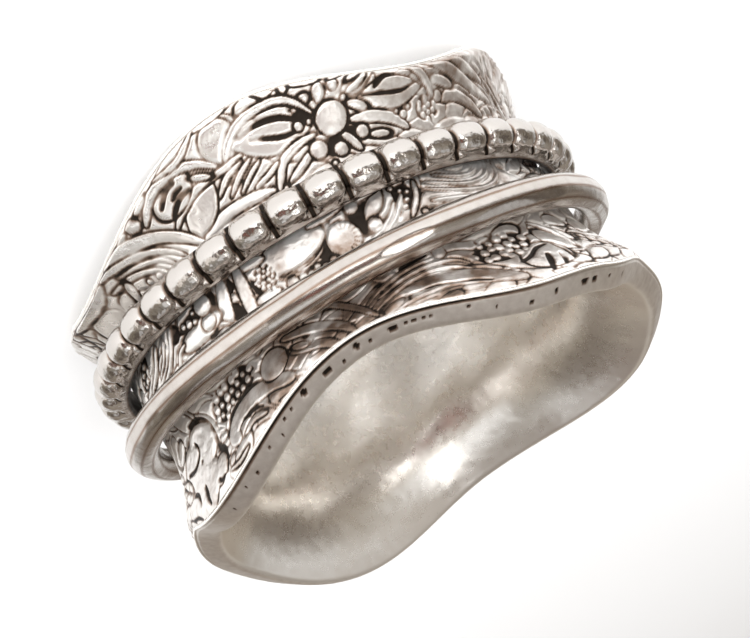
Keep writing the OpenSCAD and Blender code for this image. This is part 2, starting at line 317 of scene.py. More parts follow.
def along_path(points, width, half):
    """The stretch of the map along a path, and how far each cell lies outside it: the least distance to
    a point of the path, less the half width there. half gives that for each share of the way."""
    cells, s, z = patch(*zip(*points), width / 2 + 0.5)
    path = spline([(math.radians(a) * GROUND_R, h) for a, h in points])
    best = np.full(s.shape, FAR_AWAY)
    for (x, y), w in zip(path, half(np.linspace(0, 1, len(path)))):
        np.minimum(best, np.hypot(s - x, z - y) - w, out=best)
    return cells, best


def strand(width, points, level=1.0, taper=0.35):
    """A raised strand along a path, thinning towards both ends."""
    def half(share):
        """Half width along the strand: full in its middle, narrower at its two ends."""
        end = np.clip(np.minimum(share, 1 - share) / STRAND_END, 0, 1)
        return width / 2 * (taper + (1 - taper) * np.sqrt(end))

    raised(*along_path(points, width, half), level, min(STRAND_SOFT, width / 2))


print("brushes that raise metal: oval, lobes, leaf, ball, strand")

# %% Brushes that cut, sink and fill
CUT_WALL = 0.07
FIELD_WALL = 0.08
BARE_EDGE = 0.2
LOOP_WALL, LOOP_DEPTH, LOOP_INK = 0.06, 0.32, 0.34
GRAIN_SEED = 11
HONEYCOMB = 0.87
GRAIN_SHAKE = 0.16
GRAIN_LEVEL = 0.92
grain_draws = np.random.default_rng(GRAIN_SEED)


def cut(width, points, depth=0.0):
    """A line cut into whatever is there, down to a depth, and narrower towards both ends."""
    def half(share):
        """Half width along the cut: the root of half a sine wave, on top of a steady part."""
        return width / 2 * (0.4 + 0.6 * np.sin(math.pi * share) ** 0.5)

    cells, away = along_path(points, width, half)
    press(cells, depth + (1 - depth) * np.clip(away / CUT_WALL, 0, 1),
          (1 - 0.6 * depth) * np.clip(1 - away / CUT_WALL, 0, 1) * 1.2)


def loop(azimuth, height, radius, width=0.1):
    """A little ring that is stamped round a point."""
    cells, along, across = spot(azimuth, height, radius + width + 0.2)
    away = np.hypot(along, across)
    line = np.clip(1 - np.abs(np.abs(away - radius) - width / 2) / LOOP_WALL, 0, 1) * (away < radius + width)
    press(cells, 1 - LOOP_DEPTH * line, LOOP_INK * line)


def field(azimuth, height, length, width, turn=0):
    """Sinks the ground inside an oval, so that what is stamped in it stands in black."""
    cells, along, across = spot(azimuth, height, length / 2 + 0.1, turn)
    sunk = np.clip(-beyond(along, across, length, width) * width / 2 / FIELD_WALL, 0, 1)
    press(cells, 1 - sunk, sunk)


def bare(azimuth, height, length, width, turn=0, level=0.9):
    """Fills an oval with plain metal, for the places where the casting shows no pattern."""
    cells, along, across = spot(azimuth, height, length / 2 + 0.1, turn)
    share = np.clip(-beyond(along, across, length, width) * width / 2 / BARE_EDGE, 0, 1)
    relief_map[cells] = relief_map[cells] * (1 - share) + level * share
    ink_map[cells] *= 1 - share


def grains(azimuth, height, length, width, turn=0, pitch=0.36, size=0.15):
    """Fills the bare ground inside an oval with small balls, on a honeycomb that is shaken a little."""
    lines = np.arange(-width / 2, width / 2, pitch * HONEYCOMB)
    along, across = np.meshgrid(np.arange(-length / 2, length / 2, pitch), lines)
    along = along + (np.arange(len(lines)) % 2)[:, None] * pitch / 2
    along = along + grain_draws.uniform(-1, 1, along.shape) * pitch * GRAIN_SHAKE
    across = across + grain_draws.uniform(-1, 1, across.shape) * pitch * GRAIN_SHAKE
    inside = beyond(along, across, length, width) < 0
    c, d = math.cos(math.radians(turn)), math.sin(math.radians(turn))
    along, across = along[inside], across[inside]
    size = size * grain_draws.uniform(0.75, 1.15, along.shape)
    for x, y, r in zip(along * c - across * d, along * d + across * c, size):
        cells, *place = spot(azimuth + math.degrees(x / GROUND_R), height + y, r + 0.05)
        away = np.hypot(*place)
        if relief_map[cells][away < r * 0.8].mean() > 0.35:
            continue
        dome = GRAIN_LEVEL * np.sqrt(np.clip(1 - (away / r) ** 2, 0, 1))
        relief_map[cells] = np.maximum(relief_map[cells], dome)
        ink_map[cells] = np.minimum(ink_map[cells], np.clip(1.5 - 3 * dome, 0, 1.2))


print("brushes that cut, sink and fill: cut, loop, field, bare, grains")

# %% [markdown]
# Such a band has no bare ground: small leaves and tendrils overlap like scales wherever the larger motifs
# leave room. They are stamped first, each turned along a slow wave, and in an order that is shuffled with
# a fixed seed so that the pattern comes out the same every time.

# %% The undergrowth of small leaves
UNDER_SEED = 5
UNDER_PITCH = (9, 0.95)
UNDER_SHAKE = (2.6, 0.26)
FLOW_WAVE, FLOW_SHAKE = 34, 14
dip(0.7)
under_draws = np.random.default_rng(UNDER_SEED)
under_places = [(a, h) for a in np.arange(0, 180, UNDER_PITCH[0])
                for h in np.arange(-0.3, 14.2, UNDER_PITCH[1])]
for index in under_draws.permutation(len(under_places)):
    a, h = under_places[index] + under_draws.uniform(-1, 1, 2) * UNDER_SHAKE
    flow = FLOW_WAVE * math.sin(math.radians(a * 6 + h * 60)) + under_draws.uniform(-FLOW_SHAKE, FLOW_SHAKE)
    long, wide = under_draws.uniform(1.5, 2.9), under_draws.uniform(0.6, 1.15)
    shape = leaf if index % 3 else oval
    shape(a, h, long, wide, flow, under_draws.uniform(-0.12, 0.12))
dip(1.1)
painted(f"{len(under_places)} small leaves")

# %% [markdown]
# ## Painting the flower, its leaves and the strands round it
#
# Traditional repoussé work starts with a flower and lets leaves and tendrils run from it. The flower sits
# between the far edge and the beads, above that edge's deepest dip. The places are in degrees round the
# band and millimetres above the floor.

# %% Plain places and black ground between the far edge and the beads
bare(276, 0.9, 5.0, 2.2, 10)
bare(290, 1.9, 4.6, 2.6, 20)
bare(300, 3.0, 4.0, 1.8, -10)
bare(321, 1.6, 4.6, 1.6, 0)
bare(250, 1.1, 3.4, 1.2, 0)
bare(214, 1.2, 4.0, 1.6, 0)
field(251.5, 3.5, 2.0, 0.9)
field(257.3, 2.2, 0.9, 0.8)
field(244.6, 3.1, 1.1, 0.7)
painted("plain places")

# %% Leaves and strands that lead up to the flower
strand(0.5, [(165, 2.6), (171, 3.3), (178, 3.4), (184, 2.9)])
leaf(176, 2.1, 2.6, 1.0, -12, 0.1, veins=5)
leaf(187, 2.3, 2.4, 0.9, 24, 0.1, veins=4)
strand(0.35, [(190, 3.9), (194, 3.2), (200, 2.6), (207, 2.3)])
strand(0.35, [(196, 4.0), (199, 3.4), (205, 2.9), (212, 2.6)])
leaf(205, 3.6, 2.6, 0.9, 14, 0.2, veins=5)
strand(0.5, [(203, 3.2), (211, 2.9), (219, 2.45), (227, 2.0)])
strand(0.42, [(206, 2.5), (214, 2.2), (222, 1.8)])
strand(0.5, [(210, 3.9), (214, 3.5), (220, 3.2), (224, 3.35)])
oval(223, 2.75, 1.3, 0.4, -14)
field(228.6, 3.5, 1.3, 1.0, 10)
grains(228.6, 3.5, 1.3, 1.0, 10, 0.26, 0.11)
ball(225, 3.2, 0.22)
strand(0.34, [(226.5, 3.15), (228, 2.65), (231, 2.1), (234, 1.75)])
leaf(237.2, 2.62, 2.7, 1.05, -8, 0.1)
cut(0.06, [(230.6, 2.62), (234.5, 2.76), (238, 2.68), (243.6, 2.42)], 0.35)
cut(0.09, [(235.5, 2.2), (238, 2.15), (240.5, 2.35)])
oval(245.1, 2.62, 0.95, 0.36, -32)
strand(0.24, [(240.5, 1.55), (243, 1.95), (246.5, 2.1)])
oval(243.6, 1.6, 0.9, 0.3, 24)
oval(248.6, 1.6, 0.4, 0.52)
leaf(251.8, 1.65, 0.8, 0.5, 70)
oval(255.1, 1.6, 0.56, 0.42)
loop(255.1, 1.6, 0.19, 0.07)
oval(246.3, 1.25, 1.0, 0.35, 16)
oval(253.3, 1.0, 1.2, 0.5, -18)
oval(259.4, 0.75, 1.0, 0.75, -30, level=0.9)
cut(0.06, [(257.3, 1.5), (258.8, 1.05), (258.4, 0.55)])
leaf(264.8, 0.62, 1.9, 0.9, -8, 0, level=0.85)
cut(0.06, [(262.2, 1.0), (263.6, 0.5), (263.9, 0.2)], 0.15)
cut(0.05, [(266, 0.3), (267.6, 0.5), (268.8, 0.85)], 0.15)
painted("leaves before the flower")

# %% The flower, its petals and its seed balls
oval(274.2, 1.2, 1.6, 1.35, 50, level=0.95)
oval(273.6, 0.32, 1.6, 0.42, 2)
leaf(264.4, 2.08, 3.1, 1.25, -17, 0.08)
cut(0.12, [(258.3, 2.05), (261.5, 1.68), (266, 1.48), (270.6, 1.55)])
cut(0.11, [(259.6, 2.42), (262.2, 2.34), (265.0, 2.12), (268.6, 1.8)], 0.3)
ball(258.4, 2.32, 0.2)
strand(0.33, [(254.6, 2.15), (257, 1.55), (260, 1.18), (264.5, 1.04), (269, 1.12), (273, 1.5), (275.5, 1.95)])
strand(0.46, [(235.2, 3.98), (238, 3.55), (242.5, 3.2), (247.6, 2.98)])
oval(242.4, 3.85, 1.0, 0.36, -14)
strand(0.4, [(248.0, 4.1), (249.2, 3.65), (250.6, 3.25)])
strand(0.36, [(256.0, 2.83), (260.5, 2.86), (264.8, 3.08), (267.4, 3.6), (269, 3.95)])
strand(0.36, [(258.4, 3.32), (261.5, 3.6), (265.8, 3.9)])
ball(246.1, 3.52, 0.29)
ball(252.2, 3.76, 0.31)
oval(256.8, 3.4, 0.74, 0.74, soft=0.16)
loop(256.8, 3.4, 0.24, 0.07)
ball(255.0, 4.15, 0.14)
ball(235.3, 3.5, 0.17)
ball(233.7, 3.32, 0.1)
ball(236.9, 3.34, 0.1)
ball(251.3, 2.63, 0.64)
oval(251.3, 2.63, 1.27, 1.2, 10, soft=0.42)
ball(256.0, 2.35, 0.12)
ball(247.4, 2.2, 0.12)
painted("flower")

# %% Strands, a pointed leaf and a fan past the flower
strand(0.52, [(269.8, 3.82), (275, 3.62), (282, 3.52), (289, 3.72)])
strand(0.25, [(265.8, 2.98), (269, 3.2), (273.2, 3.36)])
strand(0.22, [(269.0, 2.55), (272.4, 2.82), (276.4, 3.22)])
strand(0.22, [(270.4, 2.3), (274.6, 2.62), (278.8, 3.1)])
strand(0.24, [(272.4, 2.2), (277.0, 2.4), (281.0, 2.86)])
leaf(285.7, 2.78, 2.6, 1.2, 36, 0)
loop(287.3, 2.6, 0.13, 0.05)
strand(0.3, [(271.5, 2.02), (277.5, 2.1), (284, 2.12), (289.5, 2.42), (293, 2.75)])
oval(288.6, 1.78, 2.0, 1.1, 22, soft=0.2)
cut(0.12, [(284.8, 1.94), (288, 2.02), (291.4, 2.34)])
cut(0.13, [(286.4, 1.44), (289.0, 1.52), (292.2, 1.9)])
cut(0.1, [(285.9, 1.72), (287.6, 1.76), (289.2, 1.88)])
strand(0.36, [(277.4, 1.86), (281, 1.36), (286, 1.13), (292, 1.36), (297, 1.98)])
oval(281.4, 1.86, 0.9, 0.3, -30)
leaf(283.8, 0.58, 2.1, 0.56, 22, 0.12)
strand(0.24, [(277.2, 0.18), (279.5, 0.62), (283.5, 0.98), (289.5, 0.98)])
oval(298.8, 1.7, 0.62, 0.56, 20)
loop(298.8, 1.7, 0.17, 0.06)
oval(294.8, 1.32, 0.9, 0.3, 28)
strand(0.22, [(301, 1.72), (304, 1.85), (308, 1.9)])
painted("strands and fan")

# %% Four arcs that sweep towards the far edge, and the rounder leaves past them
strand(0.5, [(290.2, 3.75), (293.4, 3.05), (298, 2.42), (304, 2.08), (311, 1.95)])
strand(0.28, [(295.4, 3.65), (298.6, 2.98), (303.4, 2.5), (310, 2.26), (317, 2.2)])
strand(0.22, [(298.6, 3.65), (301.4, 3.05), (305.8, 2.72), (311, 2.52)])
strand(0.26, [(301.4, 3.7), (304.4, 3.16), (309, 2.8), (315.4, 2.68)])
ball(304.5, 3.42, 0.16)
ball(307.4, 3.3, 0.14)
oval(312.6, 3.1, 1.05, 0.36, 52)
oval(326.5, 3.05, 2.4, 1.05, 4)
leaf(316.8, 3.2, 1.3, 0.55, 30)
strand(0.36, [(314, 2.3), (320, 2.52), (328, 2.32), (334, 2.0)])
leaf(336.5, 3.3, 2.2, 0.8, -26, 0.1, veins=4)
leaf(338, 2.3, 2.2, 0.85, 14, 0.1, veins=4)
ball(343.2, 3.2, 0.34)
strand(0.3, [(330, 3.9), (336, 4.2), (343, 3.9), (348, 3.3)])
painted("arcs")

# %% [markdown]
# Between the two loose rings only a strip of the pattern shows. Its motifs run on under both rings, so that
# no bare metal shows when a ring slides or turns. Deep black ground sets off the seed balls in its middle;
# towards one end the strands are fine, shallow and almost clean.

# %% Between the two loose rings: black ground, leaves and fine strands
field(257.0, 6.75, 1.3, 1.9)
field(245.8, 6.7, 0.9, 1.5)
field(268.2, 7.0, 0.8, 1.0)
field(284.3, 6.7, 0.7, 1.4)
field(292.6, 7.0, 0.6, 1.0)
field(290.9, 5.8, 0.4, 0.8)
field(297.0, 5.9, 0.7, 1.4)
field(304.5, 5.75, 2.0, 0.6)
field(311.5, 5.5, 0.9, 0.9)
strand(0.28, [(165, 5.6), (171, 6.4), (178, 6.6), (186, 6.2)])
leaf(172, 5.4, 2.4, 0.8, 10, 0.1, veins=4)
leaf(185, 5.3, 2.2, 0.75, -16, 0.1, veins=4)
strand(0.3, [(188, 7.1), (196, 6.8), (203, 7.0), (210, 7.4)])
leaf(196, 6.1, 2.6, 0.9, 12, 0.1, veins=5)
leaf(209, 6.4, 2.0, 0.7, 30, 0.1)
dip(0.5)
bare(228, 6.9, 4.6, 1.9, 0, 0.7)
strand(0.22, [(216.5, 6.1), (218.2, 6.9), (222, 7.34), (227.5, 7.42), (234, 7.16), (240.5, 6.7)])
strand(0.22, [(219.4, 6.1), (221.4, 6.75), (225.5, 7.05), (231, 7.0), (239.6, 6.42)])
strand(0.22, [(222.2, 6.1), (225, 6.58), (229.5, 6.66), (236.5, 6.25)])
strand(0.2, [(226, 6.1), (229, 6.3), (233, 6.1)])
strand(0.26, [(228, 7.76), (234, 7.56), (240.4, 7.32)])
oval(238.6, 7.78, 1.1, 0.34, -6)
dip(1.0)
ball(243.3, 7.66, 0.17)
strand(0.3, [(241.6, 6.2), (243.2, 6.9), (246.8, 7.66)])
ball(244.4, 6.55, 0.13)
ball(245.4, 6.85, 0.12)
ball(246.6, 7.1, 0.12)
ball(245.9, 6.4, 0.12)
strand(0.28, [(246.0, 6.55), (249.0, 7.14), (254.4, 7.84)])
strand(0.22, [(248.5, 6.72), (251.5, 7.26), (255.4, 7.62), (258.6, 7.8)])
ball(247.6, 6.15, 0.14)
leaf(253.2, 6.5, 1.6, 0.66, 38)
ball(255.2, 7.2, 0.31)
ball(257.8, 6.1, 0.3)
oval(253.6, 5.9, 1.0, 0.3, -4)
painted("leaves between the loose rings")

# %% Between the two loose rings: a round boss with short rays, seed balls and bars
oval(263, 7.12, 1.42, 1.62, soft=0.16)
for turned in range(100, 290, 19):
    x, y = math.cos(math.radians(turned)), math.sin(math.radians(turned))
    cut(0.03, [(263 + 2.4 * x, 7.12 + 0.46 * y), (263 + 3.8 * x, 7.12 + 0.72 * y)], 0.75)
strand(0.12, [(266.2, 6.5), (268.6, 7.06), (273.4, 7.3), (278.2, 7.2), (281.4, 6.8)], 0.9)
oval(274.2, 6.3, 3.0, 1.62, 0, 0.0, soft=0.16)
strand(0.34, [(259.4, 5.86), (264, 5.92), (268.6, 5.9)])
field(272.5, 7.62, 2.6, 0.62)
ball(267.4, 7.62, 0.18)
ball(269.6, 7.72, 0.2)
ball(271.3, 7.5, 0.15)
ball(273.2, 7.62, 0.16)
ball(275.2, 7.5, 0.16)
ball(277.8, 7.46, 0.26)
oval(284.2, 7.3, 1.2, 0.54, -8)
field(282.6, 6.6, 0.95, 1.3)
grains(282.6, 6.6, 1.0, 1.3, 0, 0.22, 0.1)
strand(0.4, [(280.6, 5.86), (284, 5.72), (287.2, 5.66)])
strand(0.6, [(289.6, 7.6), (288.8, 6.9), (288.2, 6.3), (287.6, 5.6)], 1.0, 0.6)
strand(0.66, [(295.2, 6.95), (294.4, 6.4), (292.6, 5.6)], 1.0, 0.6)
strand(0.2, [(295.2, 7.2), (298.2, 6.78), (302, 6.92)])
oval(298.8, 7.2, 0.95, 0.42)
oval(303.9, 6.4, 2.6, 0.95, -2, soft=0.3)
oval(300.4, 6.36, 0.8, 0.7, soft=0.3)
oval(299.6, 5.62, 0.92, 0.9, soft=0.4)
ball(303.7, 5.9, 0.15)
ball(305.5, 5.78, 0.21)
ball(307.4, 5.68, 0.16)
ball(303.0, 5.56, 0.13)
ball(307.5, 6.96, 0.14)
strand(0.3, [(311.6, 5.1), (314.6, 5.8), (318.8, 6.3), (324.4, 6.5)])
strand(0.34, [(319.4, 5.1), (324.6, 5.74), (332.6, 6.06)])
strand(0.24, [(313.2, 6.7), (317.0, 6.62), (321.2, 6.86)])
strand(0.24, [(309.8, 6.2), (313.0, 6.36), (316.2, 6.9)])
strand(0.2, [(315.6, 5.2), (319.2, 5.84), (324.6, 6.14)])
leaf(331, 5.2, 2.0, 0.7, 18, 0.1, veins=4)
leaf(333, 6.7, 2.2, 0.8, -10, 0.1, veins=4)
oval(342, 5.6, 1.3, 1.2, soft=0.4)
ball(347.5, 6.4, 0.24)
ball(350, 5.2, 0.24)
painted("boss and bars")

# %% [markdown]
# By the near edge the band flares, which spreads the pattern like the brim of a bell. The motifs there are
# larger and calmer: a curled leaf, a long smooth crescent, a paisley beside a field of grains, and a lobed
# leaf with a spiral cut into it.

# %% By the near edge: small leaves and the curled leaf with its three slots
leaf(170, 10.9, 2.6, 1.0, 28, 0.1, veins=5)
leaf(168, 9.2, 2.4, 0.9, -14, 0.1, veins=4)
strand(0.3, [(176, 11.4), (181, 10.6), (188, 10.2), (195, 10.4)])
leaf(184, 9.4, 2.6, 0.9, 12, 0.1, veins=5)
leaf(190, 11.3, 2.2, 0.8, -20, 0.1, veins=4)
oval(199, 9.7, 1.6, 1.0, 20)
leaf(203, 11.0, 2.6, 0.9, -34, 0.1, veins=5)
oval(209, 9.5, 1.5, 0.7, -10)
leaf(212, 12.0, 2.0, 0.8, 24)
oval(217.6, 10.7, 1.9, 1.1, -52, soft=0.4)
oval(212.6, 10.3, 1.4, 0.6, -40)
strand(0.3, [(213.6, 11.2), (213.2, 10.5), (215.8, 9.9), (220, 9.5)])
oval(225.4, 11.5, 2.5, 1.7, 12, soft=0.4)
cut(0.13, [(221.0, 12.1), (219.9, 11.5), (220.4, 10.95)])
cut(0.12, [(225.2, 12.35), (223.6, 12.0), (222.5, 11.65)])
cut(0.15, [(229.4, 12.45), (227.4, 11.95), (225.6, 11.5)])
cut(0.08, [(222, 10.85), (226, 11.0), (229.6, 11.35), (233, 11.5)])
cut(0.08, [(213.2, 11.32), (214.2, 11.4), (214.8, 11.2)])
oval(228.2, 9.72, 1.6, 0.8, 10, soft=0.4)
oval(234.6, 9.85, 1.0, 0.5, -14)
field(232.5, 10.4, 3.0, 1.5, 8)
grains(232.5, 10.4, 3.2, 1.7, 8, 0.42, 0.2)
painted("curled leaf")

# %% By the near edge: the long smooth crescent, the thin ones below it and the strands that cross
dip(0.65)
strand(0.2, [(248, 9.62), (255.5, 9.56), (263, 9.8), (267.4, 10.24)])
strand(0.2, [(242.6, 10.6), (244.8, 10.14), (250, 9.84), (257.6, 9.86), (264.6, 10.2)])
strand(0.22, [(243.2, 10.9), (246.4, 10.4), (251.6, 10.12), (258, 10.16), (263.6, 10.48), (266.6, 10.8)])
strand(0.95, [(236.6, 12.3), (241, 11.75), (246.6, 11.18), (252.6, 10.84), (259, 10.84), (264.6, 11.06)])
cut(0.06, [(243, 11.9), (246, 11.55), (249, 11.28)], 0.3)
cut(0.06, [(249.6, 11.22), (252.6, 11.02), (255.4, 10.92)], 0.3)
cut(0.07, [(256.2, 10.92), (258.6, 10.86), (259.6, 11.1)], 0.15)
oval(262.8, 11.0, 1.0, 0.4, 22)
ball(246.5, 9.5, 0.28)
cut(0.1, [(249.6, 9.36), (253, 9.32), (256.4, 9.4)])
dip(0.75)
strand(0.3, [(266.6, 11.0), (268.6, 10.2), (272, 9.4), (275, 9.0)])
strand(0.46, [(271.8, 11.0), (274.6, 10.2), (280, 9.5), (287, 9.1)])
strand(0.42, [(275.4, 11.2), (279.2, 10.5), (286.0, 9.9)])
strand(0.22, [(283.6, 11.3), (286.6, 10.9), (289.6, 10.7)])
oval(283.6, 9.9, 0.9, 0.34, -30)
oval(268, 11.3, 0.8, 0.4, 0)
dip(1.0)
painted("crescent")

# %% By the near edge: grains, the paisley and a boss
field(305.2, 9.3, 3.2, 1.6, 4)
grains(305.2, 9.3, 3.3, 1.7, 4, 0.4, 0.19)
strand(0.82, [(287.6, 10.95), (292.6, 10.46), (298.6, 10.26), (304.6, 10.36), (308.2, 10.8), (306.4, 11.2)],
       1.0, 0.55)
cut(0.08, [(296.4, 11.0), (298.8, 10.78), (303.4, 10.72)], 0.1)
cut(0.1, [(294.4, 9.98), (298.6, 9.8), (304.4, 9.86), (308.6, 10.1), (310.6, 10.6)])
strand(0.34, [(295.6, 11.4), (299.6, 11.14), (303.6, 11.34)])
oval(291.1, 9.74, 1.42, 1.32, soft=0.5)
oval(313.2, 10.36, 0.9, 0.4, -8)
ball(309.6, 11.7, 0.24)
strand(0.22, [(303, 11.9), (307, 12.1), (311, 12.0)])
painted("paisley")

# %% By the near edge: the lobed leaf with its spiral
strand(0.24, [(314.6, 10.4), (315.2, 9.6), (317, 9.0), (320.4, 8.5)])
lobes([(315.4, 11.45, 1.1, 1.3, 0), (322.4, 11.5, 2.3, 2.2, 0), (324.6, 9.85, 2.9, 2.3, 0),
       (331.4, 11.4, 2.4, 2.4, 0), (332.0, 10.1, 2.4, 2.3, 0)])
cut(0.12, [(312.2, 11.9), (311.9, 11.3), (313.2, 10.76), (316.0, 10.5), (316.2, 9.8), (317.4, 9.1),
           (320.4, 8.68), (325.4, 8.56)])
cut(0.1, [(313.6, 11.9), (315.2, 11.92), (316.7, 11.75)])
cut(0.14, [(321.5, 12.2), (322.9, 11.75), (324.7, 11.25)])
cut(0.07, [(327.2, 11.75), (329.6, 11.15), (334.5, 10.75)], 0.1)
cut(0.07, [(327.4, 12.5), (331, 11.95), (337, 11.6)], 0.2)
cut(0.045, [(324.7, 10.18), (325.3, 10.15)], 0.2)
cut(0.07, [(326.4, 9.25), (325.4, 9.5), (326.2, 9.85), (330, 10.05), (335.5, 9.85)], 0.1)
leaf(338.4, 10.2, 2.4, 0.9, -30, 0.1, veins=4)
leaf(341, 11.6, 2.0, 0.8, -14, 0.1)
oval(337, 8.7, 1.6, 0.7, 14)
painted("lobed leaf")

# %% [markdown]
# The painted map is blurred a little, as a casting softens what was carved in wax. How far a place lies below
# its neighbourhood then says where the oxide stays when the high places are rubbed. A thin brown tint is
# painted on too, more in some stretches of the band than in others: it is painted shade, standing in for the
# darker reflections that those stretches show.

# %% Reading the maps on the band
CAST_BLUR = 0.03
HOLLOW_BLUR = 0.24
WORN_FLOOR, WORN_SHARE = 0.55, 0.45
INK_SHARE, HOLLOW_SHARE, MOST_BLACK = 1.25, 0.4, 1.3


def blurred(values, reach):
    """Mean of the map over a small square window, by shifting and adding; it wraps round the band."""
    n = max(1, round(reach / MAP_STEP))
    out = values
    for axis in (0, 1):
        out = sum(np.roll(out, k, axis) for k in range(-n, n + 1)) / (2 * n + 1)
    return out


def on_map(values, azimuth, z):
    """Value of a map at each azimuth and height, mixed from the four nearest cells."""
    x = np.radians(azimuth) * GROUND_R / HALF_TURN * MAP_COLUMNS
    y = np.clip((z - MAP_LOW) / MAP_STEP, 0, MAP_ROWS - 1.001)
    c, r = np.floor(x).astype(int), np.floor(y).astype(int)
    fx, fy = x - c, y - r
    left, right = c % MAP_COLUMNS, (c + 1) % MAP_COLUMNS
    low = values[r, left] * (1 - fx) + values[r, right] * fx
    high = values[r + 1, left] * (1 - fx) + values[r + 1, right] * fx
    return low * (1 - fy) + high * fy


relief_map = blurred(relief_map, CAST_BLUR)
worn_map = WORN_FLOOR + WORN_SHARE * relief_map
hollow_map = np.clip(blurred(relief_map, HOLLOW_BLUR) - relief_map, 0, 1)
tarnish_map = np.clip(INK_SHARE * blurred(ink_map, CAST_BLUR) + HOLLOW_SHARE * hollow_map, 0, MOST_BLACK)
# Columns: azimuth, brown tint of painted shade on the high places
NEAR_PAINTED_SHADE = [(-20, 0.18), (60, 0.22), (160, 0.18), (222, 0.18), (255, 0.60), (285, 0.50), (310, 0.28),
             (340, 0.18)]
FAR_PAINTED_SHADE = [(-20, 0.06), (60, 0.12), (150, 0.12), (200, 0.42), (224, 0.36), (250, 0.10), (280, 0.0),
            (320, 0.0), (340, 0.06)]
# Columns: azimuth, share of the black that the polishing wheel has left by the far edge
FAR_BLACK = [(-20, 0.9), (60, 0.9), (150, 0.9), (196, 0.5), (222, 0.55), (246, 1.05), (282, 0.75),
             (310, 0.70), (340, 0.9)]
print("share of the map in shadow:", round(float((tarnish_map > 0.5).mean()), 2))

# %% [markdown]
# ## From grids of points to meshes
#
# Every new piece is a grid: one direction runs round the ring and closes on itself, the other runs across
# the metal and closes too, so each piece is a sealed ring of metal. The points go in with foreach_set,
# and numbers such as how black a place is are stored on the same points for the materials to read.

# %% One function for every grid
COLUMNS = 1024
pieces = {}


def whole_turn(count):
    """Evenly spaced azimuths, in degrees, that share out one turn."""
    return np.arange(count) * 360 / count


def turn_from(start, azimuth):
    """The signed turn from one azimuth to another, brought between -180 and 180 degrees."""
    return (azimuth - start + 180) % 360 - 180


def smoothed(values, axis):
    """Each value mixed with its two neighbours on a closed row: half of it and a quarter of each."""
    return (np.roll(values, 1, axis) + 2 * values + np.roll(values, -1, axis)) / 4


def ringed(azimuth, radius, z):
    """Points from azimuths, radii and heights."""
    a = np.radians(azimuth)
    return np.stack(np.broadcast_arrays(radius * np.cos(a), radius * np.sin(a), z), axis=-1)


def placed(name, data):
    """An object for a mesh, light or camera, in the scene."""
    thing = bpy.data.objects.new(name, data)
    bpy.context.scene.collection.objects.link(thing)
    return thing


def grid_piece(name, points, body, slot, node, hidden_from=None, **marks):
    """A mesh from a grid of points in millimetres that closes in both directions. The faces from the row
    hidden_from on lie inside the metal and stay flat, so that they don't bend the shading of the skin.
    marks are values on the points, kept under their own names."""
    rows, columns = points.shape[:2]
    index = np.arange(rows * columns).reshape(rows, columns)
    above, beside = np.roll(index, -1, 0), np.roll(index, -1, 1)
    corners = np.stack([index, beside, np.roll(above, -1, 1), above], axis=-1).reshape(-1)
    mesh = bpy.data.meshes.new(name)
    mesh.vertices.add(rows * columns)
    mesh.vertices.foreach_set("co", (points * MM).astype(np.float32).reshape(-1))
    mesh.loops.add(len(corners))
    mesh.loops.foreach_set("vertex_index", corners)
    mesh.polygons.add(len(corners) // 4)
    mesh.polygons.foreach_set("loop_start", np.arange(0, len(corners), 4))
    mesh.update(calc_edges=True)
    mesh.validate()
    smooth = np.ones((rows, columns), bool)
    if hidden_from is not None:
        smooth[hidden_from:] = False
    mesh.polygons.foreach_set("use_smooth", smooth.reshape(-1))
    for key, values in marks.items():
        layer = mesh.attributes.new(key, "FLOAT", "POINT")
        values = np.broadcast_to(values, (rows, columns)).astype(np.float32)
        layer.data.foreach_set("value", values.reshape(-1))
    piece = placed(name, mesh)
    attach(piece, body)
    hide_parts(node)
    pieces[name] = piece
    print(name, "has", 2 * len(mesh.polygons), "triangles")


turns = whole_turn(COLUMNS)
print("columns round the band:", COLUMNS)

# %% [markdown]
# ## The sleeve
#
# The cast sleeve is cut into three rings that meet out of sight under the loose rings, so that each
# mesh stays light. The relief sinks into a narrow burnished margin along both edges, as it does on the
# real band, where the file has run along the rim. The black goes on almost to the edge itself.

# %% Three rings of cast ornament
RELIEF_MARGIN = 0.6
BLACK_MARGIN = 0.14
FAR_LIP = 0.16 * RIM_T
SLEEVE_T = 0.5
HIDDEN_ROWS = 5
FAR_ROWS, MIDDLE_ROWS, NEAR_ROWS = 76, 60, 92
wire_plane = leaning_z(PLAIN_Z, PLAIN_R, PLAIN_TILT, PLAIN_LEAN, turns)
bead_plane = leaning_z(BEAD_Z, SPINNER_IN_R, BEAD_TILT, BEAD_LEAN, turns)
near_end = near_z(turns) - NEAR_DROP
far_end = far_z(turns) + FAR_LIP


def faded(z, margin):
    """One where the ornament is whole, easing to none at the two ends of the sleeve."""
    share = np.clip(np.minimum(near_end - z, z - far_end) / margin, 0, 1)
    return np.sin(share * math.pi / 2)


